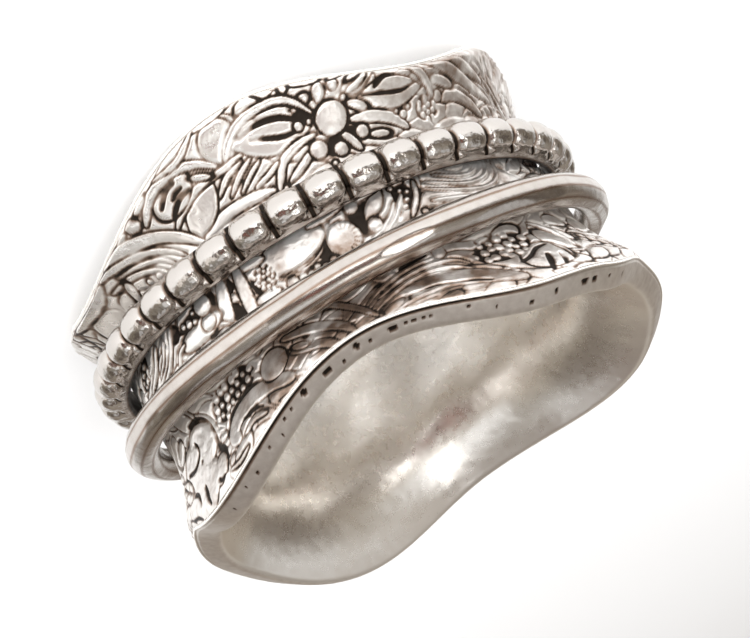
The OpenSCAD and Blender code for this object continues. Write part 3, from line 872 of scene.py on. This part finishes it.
def sleeve_ring(name, low, high, rows):
    """One stretch of the sleeve: its skin with the ornament, closed by a plain ring inside the metal.
    The painted shade and the black go evenly from their values by the far edge to those by the near edge."""
    z = low + (high - low) * np.linspace(0, 1, rows)[:, None]
    azimuth = np.broadcast_to(turns, z.shape)
    relief = RELIEF * (on_map(worn_map, azimuth, z) * faded(z, RELIEF_MARGIN))
    skin = ringed(azimuth, sleeve_r(azimuth, z) + relief, z)
    nearness = (z - far_end) / (near_end - far_end)
    black = eased(FAR_BLACK, azimuth) * (1 - nearness) + nearness
    # Painted shade: a brown tint that darkens stretches of the band, as shade and dark reflections would.
    painted_shade = eased(FAR_PAINTED_SHADE, azimuth) * (1 - nearness) + eased(NEAR_PAINTED_SHADE, azimuth) * nearness
    tarnish = np.maximum(on_map(tarnish_map, azimuth, z) * black, painted_shade) * faded(z, BLACK_MARGIN)
    inside_z = low + (high - low) * np.linspace(1, 0, HIDDEN_ROWS)[:, None]
    inside_a = azimuth[:HIDDEN_ROWS]
    inside = ringed(inside_a, sleeve_r(inside_a, inside_z) - SLEEVE_T, inside_z)
    grid_piece(name, np.concatenate([skin, inside]), "band", "band_silver", "base_band", rows - 1,
               tarnish=np.concatenate([tarnish, np.zeros(inside.shape[:2])]))


sleeve_ring("ornament_far", far_end, bead_plane, FAR_ROWS)
sleeve_ring("ornament_middle", bead_plane, wire_plane, MIDDLE_ROWS)
sleeve_ring("ornament_near", wire_plane, near_end, NEAR_ROWS)

# %% [markdown]
# ## Edges and finger hole
#
# Liner and sleeve are soldered together and flare out at both edges. The near edge's face is square to that
# flare, so it slants, and it shows both layers: a thin bright lip where the sleeve was burnished, a shallow
# groove beside it whose dark line is painted shade, then a satin face that was filed flat. Inside, the liner
# was polished by hand, which leaves slow waves that bend the reflections.

# %% Profiles across the two edges
# Columns: share of the thickness along the face, share of it below the face, satin, painted shade of the dark
# line
NEAR_FACE = np.array([
    (0, 0.1, 0, 0), (0.004, 0.068, 0, 0), (0.015, 0.038, 0, 0), (0.035, 0.014, 0, 0), (0.055, 0.01, 0, 0.4),
    (0.075, 0.03, 0.1, 1), (0.105, 0.045, 0.2, 1.1), (0.135, 0.03, 0.4, 1), (0.165, 0.008, 0.7, 0.7),
    (0.2, 0.002, 1, 0.4), (0.26, 0, 1, 0.1), (0.34, 0, 1, 0), (0.42, 0, 1, 0), (0.5, 0, 1, 0), (0.6, 0, 1, 0),
    (0.7, 0.003, 1, 0), (0.78, 0.01, 1, 0), (0.84, 0.024, 1, 0), (0.89, 0.048, 0.9, 0), (0.93, 0.082, 0.7, 0),
    (0.965, 0.135, 0.4, 0), (0.99, 0.21, 0.2, 0), (1, 0.3, 0.1, 0)])
# Columns: share of the thickness along the face, share of it below the face, satin
FAR_FACE = np.array([
    (0, 0.16, 0), (0.005, 0.11, 0), (0.02, 0.06, 0), (0.05, 0.022, 0), (0.09, 0.005, 0.2), (0.15, 0, 0.8),
    (0.3, 0, 1), (0.5, 0, 1), (0.68, 0.01, 1), (0.79, 0.04, 1), (0.87, 0.095, 0.8), (0.93, 0.17, 0.4),
    (0.97, 0.26, 0.1), (0.99, 0.36, 0)])
NEAR_MOUTH_CURVE, FAR_MOUTH_CURVE = 2.7, 2.0
MOUTH_ROWS, HOLE_ROWS, SOLDER_ROWS = 15, 8, 12
SOLDER_DEPTH = 0.25
LINE_MIDDLE, LINE_REACH, LINE_LEAST = 275, 42, 0.35


def hand_waves(azimuth, z):
    """Slow waves of hand polishing, in millimetres: a few sines that cross at different slants."""
    a = np.radians(azimuth)
    return (0.034 * np.sin(5 * a + 0.9 * z) + 0.024 * np.sin(9 * a - 0.7 * z + 1.3)
            + 0.018 * np.sin(14 * a + 2.1 * z + 0.4))


def face_rows(side, face, slant, end_z):
    """Rings of points across one edge, from the sleeve inwards. A point lies along the face and square to it:
    inwards by along times cosine less above times sine, upwards by along times sine plus above times cosine.
    side is 1 for the near edge, -1 for the far."""
    along, above = face[:, 0, None] * RIM_T, (face[0, 1] - face[:, 1, None]) * RIM_T
    radius = sleeve_r(turns, end_z) - along * math.cos(slant) + above * math.sin(slant)
    z = end_z + side * (along * math.sin(slant) + above * math.cos(slant))
    return np.broadcast_to(turns, radius.shape), radius, z


def mouth_rows(start_r, start_z, end_z, curve):
    """Rings from an edge's inner lip to the finger hole: the way that is left shrinks as a power, curve, of
    the share of the height that is left."""
    share = np.linspace(0, 1, MOUTH_ROWS + 1)[1:, None]
    z = start_z + (end_z - start_z) * share
    radius = BORE_R + (start_r - BORE_R) * (1 - share) ** curve
    azimuth = np.broadcast_to(turns, z.shape)
    return azimuth, radius + hand_waves(azimuth, z) * np.sqrt(share), z


near_face = face_rows(1, NEAR_FACE, EDGE_SLANT, near_end)
far_face = face_rows(-1, FAR_FACE, 0, far_end)
near_mouth = mouth_rows(near_face[1][-1], near_face[2][-1], NEAR_MOUTH_Z, NEAR_MOUTH_CURVE)
far_mouth = mouth_rows(far_face[1][-1], far_face[2][-1], FAR_MOUTH_Z, FAR_MOUTH_CURVE)
hole_z = np.linspace(NEAR_MOUTH_Z, FAR_MOUTH_Z, HOLE_ROWS + 2)[1:-1, None] * np.ones(COLUMNS)
hole_a = np.broadcast_to(turns, hole_z.shape)
solder_z = far_end + (near_end - far_end) * np.linspace(0, 1, SOLDER_ROWS)[:, None]
solder_a = np.broadcast_to(turns, solder_z.shape)
lining = np.concatenate([
    ringed(*near_face), ringed(*near_mouth),
    ringed(hole_a, BORE_R + hand_waves(hole_a, hole_z), hole_z),
    ringed(*far_mouth)[::-1], ringed(*far_face)[::-1],
    ringed(solder_a, sleeve_r(solder_a, solder_z) - SOLDER_DEPTH, solder_z)])

first_hidden = len(lining) - SOLDER_ROWS
satin = np.zeros(lining.shape[:2])
satin[:len(NEAR_FACE)] = NEAR_FACE[:, 2, None]
satin[first_hidden - len(FAR_FACE):first_hidden] = FAR_FACE[::-1, 2, None]
painted_dark_line = np.zeros(lining.shape[:2])
# The dark line is painted shade: darkest round LINE_MIDDLE, fainter round the rest of the edge.
line_strength = LINE_LEAST + (1 - LINE_LEAST) * np.exp(-(turn_from(LINE_MIDDLE, turns) / LINE_REACH) ** 4)
painted_dark_line[:len(NEAR_FACE)] = NEAR_FACE[:, 3, None] * line_strength
print("rows across the edges and the finger hole:", first_hidden)

# %% [markdown]
# The near edge's solder seam has left a few black pits. They are small dents in the same grid: each is an
# ellipse on the face, which sinks the points inside it a little and blackens them.

# %% Black pits along the near edge's solder seam
# Columns: azimuth, length in millimetres, width, share of the thickness along the face
PITS = [
    (265.5, 0.42, 0.17, 0.45), (262.8, 0.14, 0.1, 0.4), (261.2, 0.2, 0.1, 0.42), (259.4, 0.12, 0.08, 0.44),
    (258, 0.1, 0.08, 0.44), (273.4, 0.3, 0.22, 0.42), (270.6, 0.08, 0.06, 0.5), (281, 0.46, 0.2, 0.46),
    (287.2, 0.3, 0.24, 0.34), (291.4, 0.1, 0.08, 0.36), (293.8, 0.12, 0.1, 0.36), (300.4, 0.08, 0.06, 0.45),
    (306.6, 0.12, 0.1, 0.52), (311.2, 0.07, 0.06, 0.45), (318.5, 0.07, 0.06, 0.5), (237.2, 0.2, 0.12, 0.62),
    (230.9, 0.16, 0.14, 0.46), (222, 0.5, 0.18, 0.44), (218.6, 0.34, 0.14, 0.46), (213, 0.12, 0.08, 0.44),
    (206, 0.3, 0.06, 0.46), (200, 0.26, 0.05, 0.46), (245, 0.07, 0.05, 0.5), (250.5, 0.06, 0.05, 0.36),
    (277.2, 0.06, 0.05, 0.6), (296.8, 0.05, 0.05, 0.6), (284, 0.06, 0.05, 0.3)]
PIT_EDGE = 0.03
PIT_DEPTH = 0.06
PIT_STEEPNESS = 2.2
PAINTED_LINE_BLACK, SATIN_FILM = 0.9, 0.3
pits = np.zeros(lining.shape[:2])
for azimuth, length, width, share in PITS:
    along = np.radians(turn_from(azimuth, turns)) * (GROUND_R + NEAR_FLARE)
    across = (NEAR_FACE[:, 0, None] - share) * RIM_T
    inside = 1 - (along / (length / 2 + PIT_EDGE)) ** 2 - (across / (width / 2 + PIT_EDGE)) ** 2
    pits[:len(NEAR_FACE)] = np.maximum(pits[:len(NEAR_FACE)], np.clip(inside * PIT_STEEPNESS, 0, 1))
lining[:, :, 2] -= PIT_DEPTH * pits
# The edge's mark holds the real pits and the satin face's film, and the painted shade of the dark line.
grid_piece("edges_and_liner", lining, "band", "band_silver", "base_band", first_hidden - 1, satin=satin,
           tarnish=np.maximum(np.maximum(pits, PAINTED_LINE_BLACK * painted_dark_line), SATIN_FILM * satin))

# %% [markdown]
# ## The beaded ring
#
# Bead wire is rolled between dies: a flat strip with a row of barrel beads standing on it. Forty-two
# separate barrels would do, but one grid is closer to the real single piece of metal. Each column of the
# grid is a section across the wire, and its radius swells at a bead's middle and pinches between two.

# %% Shape of the beaded ring
BEAD_SHARE = 0.95
BEAD_POWER = 3.1
PINCH = 0.5
BEAD_SWELL = 1.11
BEAD_STEPS = 28
BEAD_SECTION = 60
BEAD_SEED = 3
BEAD_UNLIKE = 0.03
GAP_START, GAP_FADE, GAP_BLACK = 0.82, 0.1, 1.1
FOOT_START, FOOT_FADE = 0.42, 0.06
BACK_START = -0.3
BEAD_FILM = 0.04
NO_WALL = 1e-6


def leaned(points, tilt, lean, middle):
    """Turns a level ring of points about the level line across its lean, then lifts it to its place."""
    t, a = math.radians(tilt), math.radians(lean)
    c, s = math.cos(a), math.sin(a)
    to = np.array([[c, -s, 0], [s, c, 0], [0, 0, 1]])
    tip = np.array([[math.cos(t), 0, math.sin(t)], [0, 1, 0], [-math.sin(t), 0, math.cos(t)]])
    return points @ (to @ tip @ to.T).T + [0, 0, middle]


def barrel(place, size):
    """Radius of a bead at a place along it, -1 to 1: an oval that is fuller than an ellipse, with the die's
    narrow groove between two of them."""
    body = np.clip(1 - np.clip(np.abs(place) / BEAD_SHARE, 0, 1) ** BEAD_POWER, 0, 1) ** (1 / BEAD_POWER)
    return size * BEAD_D / 2 * np.maximum(body, PINCH)


bead_draws = np.random.default_rng(BEAD_SEED)
bead_size = 1 - bead_draws.uniform(0, BEAD_UNLIKE, BEAD_N)
bead_number, bead_step = np.divmod(np.arange(BEAD_N * BEAD_STEPS), BEAD_STEPS)
place = (bead_step / BEAD_STEPS - 0.5) * 2
angle = np.arange(BEAD_SECTION)[:, None] * 2 * math.pi / BEAD_SECTION
outwards, upwards = np.cos(angle), np.sin(angle)
bead_wall = barrel(place, bead_size[bead_number]) / np.hypot(outwards, upwards / BEAD_SWELL)
to_side = STRIP_W / 2 / np.maximum(np.abs(upwards), NO_WALL)
to_floor = BEAD_D / 2 / np.maximum(-outwards, NO_WALL)
to_strip = np.minimum(to_side, to_floor)
strip_wall = np.where(-outwards * to_strip > BEAD_D / 2 - STRIP_T, to_strip, 0.0)
wall = smoothed(np.maximum(bead_wall, strip_wall), 0)
bead_points = ringed(whole_turn(len(place)), BEAD_R + wall * outwards, wall * upwards)
between = GAP_BLACK * np.clip((np.abs(place) - GAP_START) / GAP_FADE, 0, 1) * (outwards >= BACK_START)
# Painted shadow: the strip's foot, where it sits close over the band, is darkened as shade would darken it.
painted_foot_shadow = np.clip((-wall * outwards - FOOT_START) / FOOT_FADE, 0, 1)
grid_piece("bead_ring", leaned(bead_points, BEAD_TILT, BEAD_LEAN, BEAD_Z), "beads", "bead_silver",
           "beaded_spinner", tarnish=np.maximum(between, painted_foot_shadow) + BEAD_FILM)

# %% [markdown]
# ## The hammered wire ring
#
# Round wire was bent, soldered and tapped with a hammer while it lay on a mandrel. Each tap leaves a flat,
# a little over two millimetres long. On the grid a tap is the flat's plane: no point of the section may
# lie further out than it in the direction that the hammer came from.

# %% Shape of the wire ring
# Columns: azimuth, roll round the wire
TAPS = [(8, 20), (33, -35), (57, 40), (84, 0), (108, 55), (131, -20), (158, 30), (182, 70), (205, -10),
        (231, 45), (254, 15), (279, -30), (303, 60), (329, 5), (350, -45)]
TAP_DEPTH = 0.06
TAP_SEED = 8
SMALL_TAPS = 90
FACING_LEAST = 0.3
WIRE_COLUMNS = 960
WIRE_SECTION = 72
STREAK_LEAST, STREAK_MORE = 0.24, 0.42
wire_turns = whole_turn(WIRE_COLUMNS)
roll = whole_turn(WIRE_SECTION)[:, None]
tap_draws = np.random.default_rng(TAP_SEED)
small_taps = [(tap_draws.uniform(0, 360), tap_draws.uniform(-110, 110), tap_draws.uniform(0.012, 0.035))
              for _ in range(SMALL_TAPS)]
wire_wall = np.full((WIRE_SECTION, WIRE_COLUMNS), WIRE_D / 2)
for azimuth, side, depth in [(*tap, TAP_DEPTH) for tap in TAPS] + small_taps:
    along = turn_from(azimuth, wire_turns) / 180 * math.pi * PLAIN_R
    bend = along ** 2 / (2 * PLAIN_R) * math.cos(math.radians(side)) ** 2
    flat = WIRE_D / 2 - depth + bend + along ** 4 * 0.004
    facing = np.cos(np.radians(roll - side))
    plane = np.where(facing > FACING_LEAST, flat / np.maximum(facing, FACING_LEAST), WIRE_D)
    wire_wall = np.minimum(wire_wall, plane)
for axis in (0, 1, 1, 1):
    wire_wall = smoothed(wire_wall, axis)
# Painted reflection: dark stripes along the wire, at some turns of its section, stand in for the bands of the
# room that it reflects; the least share is painted shade that darkens the whole wire a little.
slow = 1.4 * np.sin(np.radians(3 * wire_turns)) + 0.8 * np.sin(np.radians(7 * wire_turns + 40))
painted_streaks = STREAK_LEAST + STREAK_MORE * np.clip(np.sin(np.radians(9 * roll) + slow), 0, 1) ** 3
wire_points = ringed(wire_turns, PLAIN_R + wire_wall * np.cos(np.radians(roll)),
                     wire_wall * np.sin(np.radians(roll)))
grid_piece("wire_ring", leaned(wire_points, PLAIN_TILT, PLAIN_LEAN, PLAIN_Z), "wire", "wire_silver",
           "plain_spinner", tarnish=painted_streaks)

# %% [markdown]
# ## Finishes
#
# All the silver is one metal, but four finishes of it: burnished ornament with oxide in its hollows, a
# polished inside with filed satin edges, and the two loose rings, whose darker base colour is painted shade
# that makes them greyer. One helper wires the shared part: a mark on the mesh says how black a place is, from
# oxide and from painted shade, and fine noise breaks it up, as oxide never wears evenly. A slight haze on the
# ornament keeps its small domes from flashing, since the real casting isn't a mirror.

# %% Helpers for nodes
def finish(name, rough=0.5):
    """A new material: itself, its tree of nodes and its main shader."""
    material = bpy.data.materials.new(name)
    material.use_nodes = True
    shader = material.node_tree.nodes["Principled BSDF"]
    shader.inputs["Roughness"].default_value = rough
    return material, material.node_tree, shader


def ramp(tree, source, stops):
    """A colour ramp from a number."""
    node = tree.nodes.new("ShaderNodeValToRGB")
    while len(node.color_ramp.elements) < len(stops):
        node.color_ramp.elements.new(0.5)
    for element, (place_at, colour) in zip(node.color_ramp.elements, stops):
        element.position = place_at
        element.color = (*colour, 1)
    tree.links.new(source, node.inputs["Fac"])
    return node.outputs["Color"]


def number(tree, operation, *values):
    """One step of arithmetic on numbers or sockets. MULTIPLY_ADD is the first times the second plus the
    third."""
    node = tree.nodes.new("ShaderNodeMath")
    node.operation = operation
    for socket, value in zip(node.inputs, values):
        if isinstance(value, (int, float)):
            socket.default_value = value
        else:
            tree.links.new(value, socket)
    return node.outputs["Value"]


def noise(tree, size, detail=3.0, stretch=(1, 1, 1)):
    """Noise round nought whose lumps are about size millimetres, on the object's own coordinates."""
    coordinates = tree.nodes.new("ShaderNodeTexCoord")
    mapping = tree.nodes.new("ShaderNodeMapping")
    mapping.inputs["Scale"].default_value = stretch
    tree.links.new(coordinates.outputs["Object"], mapping.inputs["Vector"])
    node = tree.nodes.new("ShaderNodeTexNoise")
    node.inputs["Scale"].default_value = 1 / (size * MM)
    node.inputs["Detail"].default_value = detail
    tree.links.new(mapping.outputs["Vector"], node.inputs["Vector"])
    return number(tree, "SUBTRACT", node.outputs["Fac"], 0.5)


def marked(tree, key):
    """The number that the piece's points carry under a name."""
    node = tree.nodes.new("ShaderNodeAttribute")
    node.attribute_name = key
    return node.outputs["Fac"]


def bump(tree, height, depth, under=None):
    """The surface's direction once a number stands up from it by depth millimetres, over another bump."""
    node = tree.nodes.new("ShaderNodeBump")
    node.inputs["Distance"].default_value = depth * MM
    tree.links.new(height, node.inputs["Height"])
    if under is not None:
        tree.links.new(under, node.inputs["Normal"])
    return node.outputs["Normal"]


# The brown and the black that a mark turns silver into: the colours of oxide, and of the painted shade that
# shares the same mark.
BLACK_OXIDE_AND_SHADE = (0.03, 0.023, 0.018)
BROWN_OXIDE_AND_SHADE = (0.28, 0.20, 0.152)
THIN_FROM, THIN_AT, BLACK_AT = 0.17, 0.52, 0.80
print("silver turns brown, then black, at a mark of", THIN_AT, "and", BLACK_AT)

# %% The four finishes
ORNAMENT_SILVER = (0.82, 0.79, 0.755)
LINER_SILVER = (0.96, 0.92, 0.865)
# The loose rings' darker base colour is painted shade: it dims what they reflect, so they look greyer than
# the band.
LOOSE_SILVER_SHADED = (0.60, 0.565, 0.53)
PATCH_SIZE, WEAR_SIZE, SCRATCH_SIZE = 0.35, 1.3, 0.06
WEAR_MIDDLE, WEAR_LEAST, WEAR_MOST = 0.9, 0.3, 1.2
PATCH_RUBBED, PATCH_PLAIN, PATCH_ROUGH = 0.4, 0.16, 0.12


def silver(name, bright, gloss, oxide_gloss, lumps, lump_depth, scratch_depth, satin_gloss=None, rubbed=0.0,
           haze=0.0):
    """A silver finish. gloss and oxide_gloss are roughnesses; lumps is the size of the surface's waves;
    rubbed is how unevenly the black has been polished away again; haze is the share that isn't metal."""
    material, tree, shader = finish(name)
    shader.inputs["Metallic"].default_value = 1.0 - haze
    # This mark holds oxide and painted shade alike.
    mark = marked(tree, "tarnish")
    patchy = noise(tree, PATCH_SIZE, 4.0)
    wear = number(tree, "MULTIPLY_ADD", noise(tree, WEAR_SIZE, 2.0), rubbed, WEAR_MIDDLE)
    wear = number(tree, "MINIMUM", number(tree, "MAXIMUM", wear, WEAR_LEAST), WEAR_MOST)
    spots = number(tree, "MULTIPLY", patchy, PATCH_RUBBED if rubbed else PATCH_PLAIN)
    black = number(tree, "MULTIPLY_ADD", mark, wear, spots)
    rough = number(tree, "MULTIPLY_ADD", mark, oxide_gloss - gloss, gloss)
    if satin_gloss is not None:
        rough = number(tree, "MULTIPLY_ADD", marked(tree, "satin"), satin_gloss - gloss, rough)
    rough = number(tree, "MULTIPLY_ADD", patchy, PATCH_ROUGH, rough)
    waves = bump(tree, noise(tree, lumps, 2.0), lump_depth)
    scratched = bump(tree, noise(tree, SCRATCH_SIZE, 2.0, (1, 1, 0.35)), scratch_depth, waves)
    stops = [(THIN_FROM, bright), (THIN_AT, BROWN_OXIDE_AND_SHADE), (BLACK_AT, BLACK_OXIDE_AND_SHADE)]
    tree.links.new(ramp(tree, black, stops), shader.inputs["Base Color"])
    tree.links.new(rough, shader.inputs["Roughness"])
    tree.links.new(scratched, shader.inputs["Normal"])
    return material


cast_silver = silver("cast_ornament_silver", ORNAMENT_SILVER, 0.27, 0.5, 0.45, 0.05, 0.006, rubbed=3.2,
                     haze=0.1)
finishes = {
    "ornament_far": cast_silver,
    "ornament_middle": cast_silver,
    "ornament_near": cast_silver,
    "edges_and_liner": silver("lining_silver", LINER_SILVER, 0.28, 0.5, 1.6, 0.06, 0.002, 0.40),
    "bead_ring": silver("bead_silver_polished", LOOSE_SILVER_SHADED, 0.17, 0.45, 0.42, 0.06, 0.002),
    "wire_ring": silver("hammered_wire_silver", LOOSE_SILVER_SHADED, 0.14, 0.4, 0.9, 0.03, 0.002)}
for name, piece in pieces.items():
    piece.data.materials.append(finishes[name])
print("finishes:", sorted({m.name for m in finishes.values()}))

# %% [markdown]
# ## Floor, light and camera
#
# Polished silver shows its surroundings, so the light is really a choice of what it reflects. A bright
# pale floor and soft white boxes light the ring. Round it, out of the camera's sight, stand cards that
# only reflections see: two bright windows, a pale sky, and brown ones for the walls and wood of a room.

# %% A plain pale floor and the cards that silver reflects
FLOOR_SIZE = 6000
CARD_ROUGH = 0.8


def flat_sheet(name, middle, size, facing, material):
    """A square sheet round a point that faces along a direction."""
    n = np.asarray(facing, float) / np.linalg.norm(facing)
    side = np.cross(n, (0, 0, 1) if abs(n[2]) < 0.9 else (0, 1, 0))
    side = side / np.linalg.norm(side)
    other = np.cross(n, side)
    corners = [np.asarray(middle) + (u * side * size[0] + v * other * size[1]) / 2
               for u, v in ((-1, -1), (1, -1), (1, 1), (-1, 1))]
    mesh = bpy.data.meshes.new(name)
    mesh.from_pydata([tuple(c * MM) for c in corners], [], [(0, 1, 2, 3)])
    mesh.materials.append(material)
    sheet = placed(name, mesh)
    return sheet


def card(name, middle, size, colour):
    """A card with a steady colour of its own, which only reflections see. It faces the ring."""
    material, _, shader = finish(name + "_colour", CARD_ROUGH)
    shader.inputs["Base Color"].default_value = (0, 0, 0, 1)
    shader.inputs["Emission Color"].default_value = (*colour, 1)
    shader.inputs["Emission Strength"].default_value = 1
    sheet = flat_sheet(name, middle, size, -np.asarray(middle, float), material)
    sheet.visible_camera = False
    sheet.visible_diffuse = False
    sheet.visible_shadow = False


floor_finish, _, floor_shader = finish("pale_floor", 0.6)
floor_shader.inputs["Base Color"].default_value = (0.87, 0.875, 0.885, 1)
flat_sheet("floor", (0, 0, 0), (FLOOR_SIZE, FLOOR_SIZE), (0, 0, 1), floor_finish)

# Columns: name, middle, size, colour
CARDS = [("russet_left", (42, -212, 96), (44, 60), (0.27, 0.075, 0.045)),
         ("russet_right", (-46, -212, 86), (38, 48), (0.24, 0.08, 0.05)),
         ("dark_middle", (2, -214, 79), (30, 30), (0.008, 0.007, 0.007)),
         ("warm_wall_above", (150, 84, 210), (150, 130), (0.13, 0.085, 0.065)),
         ("brown_room", (0, -236, 81), (290, 130), (0.14, 0.095, 0.078)),
         ("wood_behind", (-232, 66, 78), (190, 120), (0.24, 0.205, 0.165)),
         ("wood_beside", (236, 40, 76), (170, 110), (0.26, 0.225, 0.18)),
         ("skylight", (0, -150, 212), (340, 105), (0.95, 0.96, 0.97)),
         ("sky_left", (-165, 40, 205), (130, 56), (0.68, 0.68, 0.68)),
         ("sky_right", (165, 40, 205), (130, 56), (0.68, 0.68, 0.68)),
         ("brown_left", (-208, 50, 128), (150, 84), (0.13, 0.105, 0.085)),
         ("brown_right", (208, 50, 126), (150, 84), (0.13, 0.105, 0.085)),
         ("low_window", (-25, -236, 25), (104, 44), (3.0, 3.0, 2.95)),
         ("high_window", (-42, -168, 178), (84, 44), (2.7, 2.7, 2.65))]
for row in CARDS:
    card(*row)
print("cards round the ring:", len(CARDS))

# %% A room of soft colours
# Columns: height of the direction looked at, from level to straight up, and colour there
ROOM = [(0.00, (0.86, 0.86, 0.85)), (0.09, (0.66, 0.64, 0.61)), (0.20, (0.24, 0.195, 0.165)),
        (0.42, (0.34, 0.30, 0.25)), (0.62, (0.44, 0.41, 0.37)), (0.84, (0.38, 0.35, 0.32)),
        (1.00, (0.27, 0.235, 0.21))]
ROOM_LEAST, ROOM_MORE = 0.05, 1.9
world = bpy.data.worlds.new("room")
bpy.context.scene.world = world
world.use_nodes = True
room = world.node_tree
towards = room.nodes.new("ShaderNodeTexCoord").outputs["Generated"]
split = room.nodes.new("ShaderNodeSeparateXYZ")
room.links.new(towards, split.inputs["Vector"])
blobs = room.nodes.new("ShaderNodeTexNoise")
blobs.inputs["Scale"].default_value = 1.7
blobs.inputs["Detail"].default_value = 2.5
room.links.new(towards, blobs.inputs["Vector"])
background = room.nodes["Background"].inputs
room.links.new(ramp(room, split.outputs["Z"], ROOM), background["Color"])
room.links.new(number(room, "MULTIPLY_ADD", blobs.outputs["Fac"], ROOM_MORE, ROOM_LEAST),
               background["Strength"])
print("colours in the room:", len(ROOM))

# %% Soft lights
DAYLIGHT = (0.97, 0.985, 1.0)
WHITE = (1, 1, 1)


def softbox(name, middle, size, power, colour, mirrored):
    """A square light that shines at the ring's middle; mirrored says whether silver shows it."""
    light = bpy.data.lights.new(name, "AREA")
    light.shape = "RECTANGLE"
    light.size, light.size_y = size[0] * MM, size[1] * MM
    light.energy = power
    light.color = colour
    holder = placed(name, light)
    holder.location = Vector(np.multiply(middle, MM))
    holder.rotation_euler = Vector(np.negative(middle)).to_track_quat("-Z", "Y").to_euler()
    holder.visible_camera = False
    holder.visible_glossy = mirrored


# Columns: name, middle, size, power in watts, colour, whether silver shows it
LIGHTS = [("key_light", (90, -190, 210), (280, 280), 0.68, DAYLIGHT, False),
          ("fill_light", (-230, -90, 170), (280, 280), 0.6, DAYLIGHT, False),
          ("low_light", (-20, -250, 78), (280, 90), 1.25, DAYLIGHT, False),
          ("back_light", (20, 230, 230), (300, 300), 0.3, DAYLIGHT, False),
          ("window_left", (150, -150, 60), (70, 90), 0.018, WHITE, True),
          ("window_right", (-120, -190, 100), (36, 50), 0.022, WHITE, True),
          ("window_above", (-40, -120, 230), (70, 50), 0.03, WHITE, True)]
for row in LIGHTS:
    softbox(*row)
bpy.context.scene.view_settings.view_transform = "Standard"
print("soft lights:", len(LIGHTS))

# %% [markdown]
# The camera looks down at the ring from close by, through a long lens. It is rolled far over, so that the
# ring, which lies on its far edge, shows its near edge at the bottom of the picture.

# %% The camera
# Its place in millimetres, and the directions of the picture's right, its bottom and its depth
CAMERA_PLACE = (-0.493, -83.225, 36.969)
CAMERA_RIGHT = (-0.8339, 0.1869, 0.5194)
CAMERA_DOWN = (0.5520, 0.2824, 0.7846)
CAMERA_FORWARD = (0, 0.9409, -0.3386)
LENS, SENSOR = 97.4, 36
NEAREST, FARTHEST = 0.002, 20
camera = placed("camera", bpy.data.cameras.new("camera"))
columns = np.array([CAMERA_RIGHT, np.negative(CAMERA_DOWN), np.negative(CAMERA_FORWARD)]).T
turn = Matrix(columns.tolist()).to_quaternion().to_matrix().to_4x4()
camera.matrix_world = Matrix.Translation(np.multiply(CAMERA_PLACE, MM)) @ turn
camera.data.lens = LENS
camera.data.sensor_width = SENSOR
camera.data.clip_start, camera.data.clip_end = NEAREST, FARTHEST
bpy.context.scene.camera = camera
print("camera's height above the floor:", round(CAMERA_PLACE[2]), "mm")

# %% End of the scene
print("scene built")
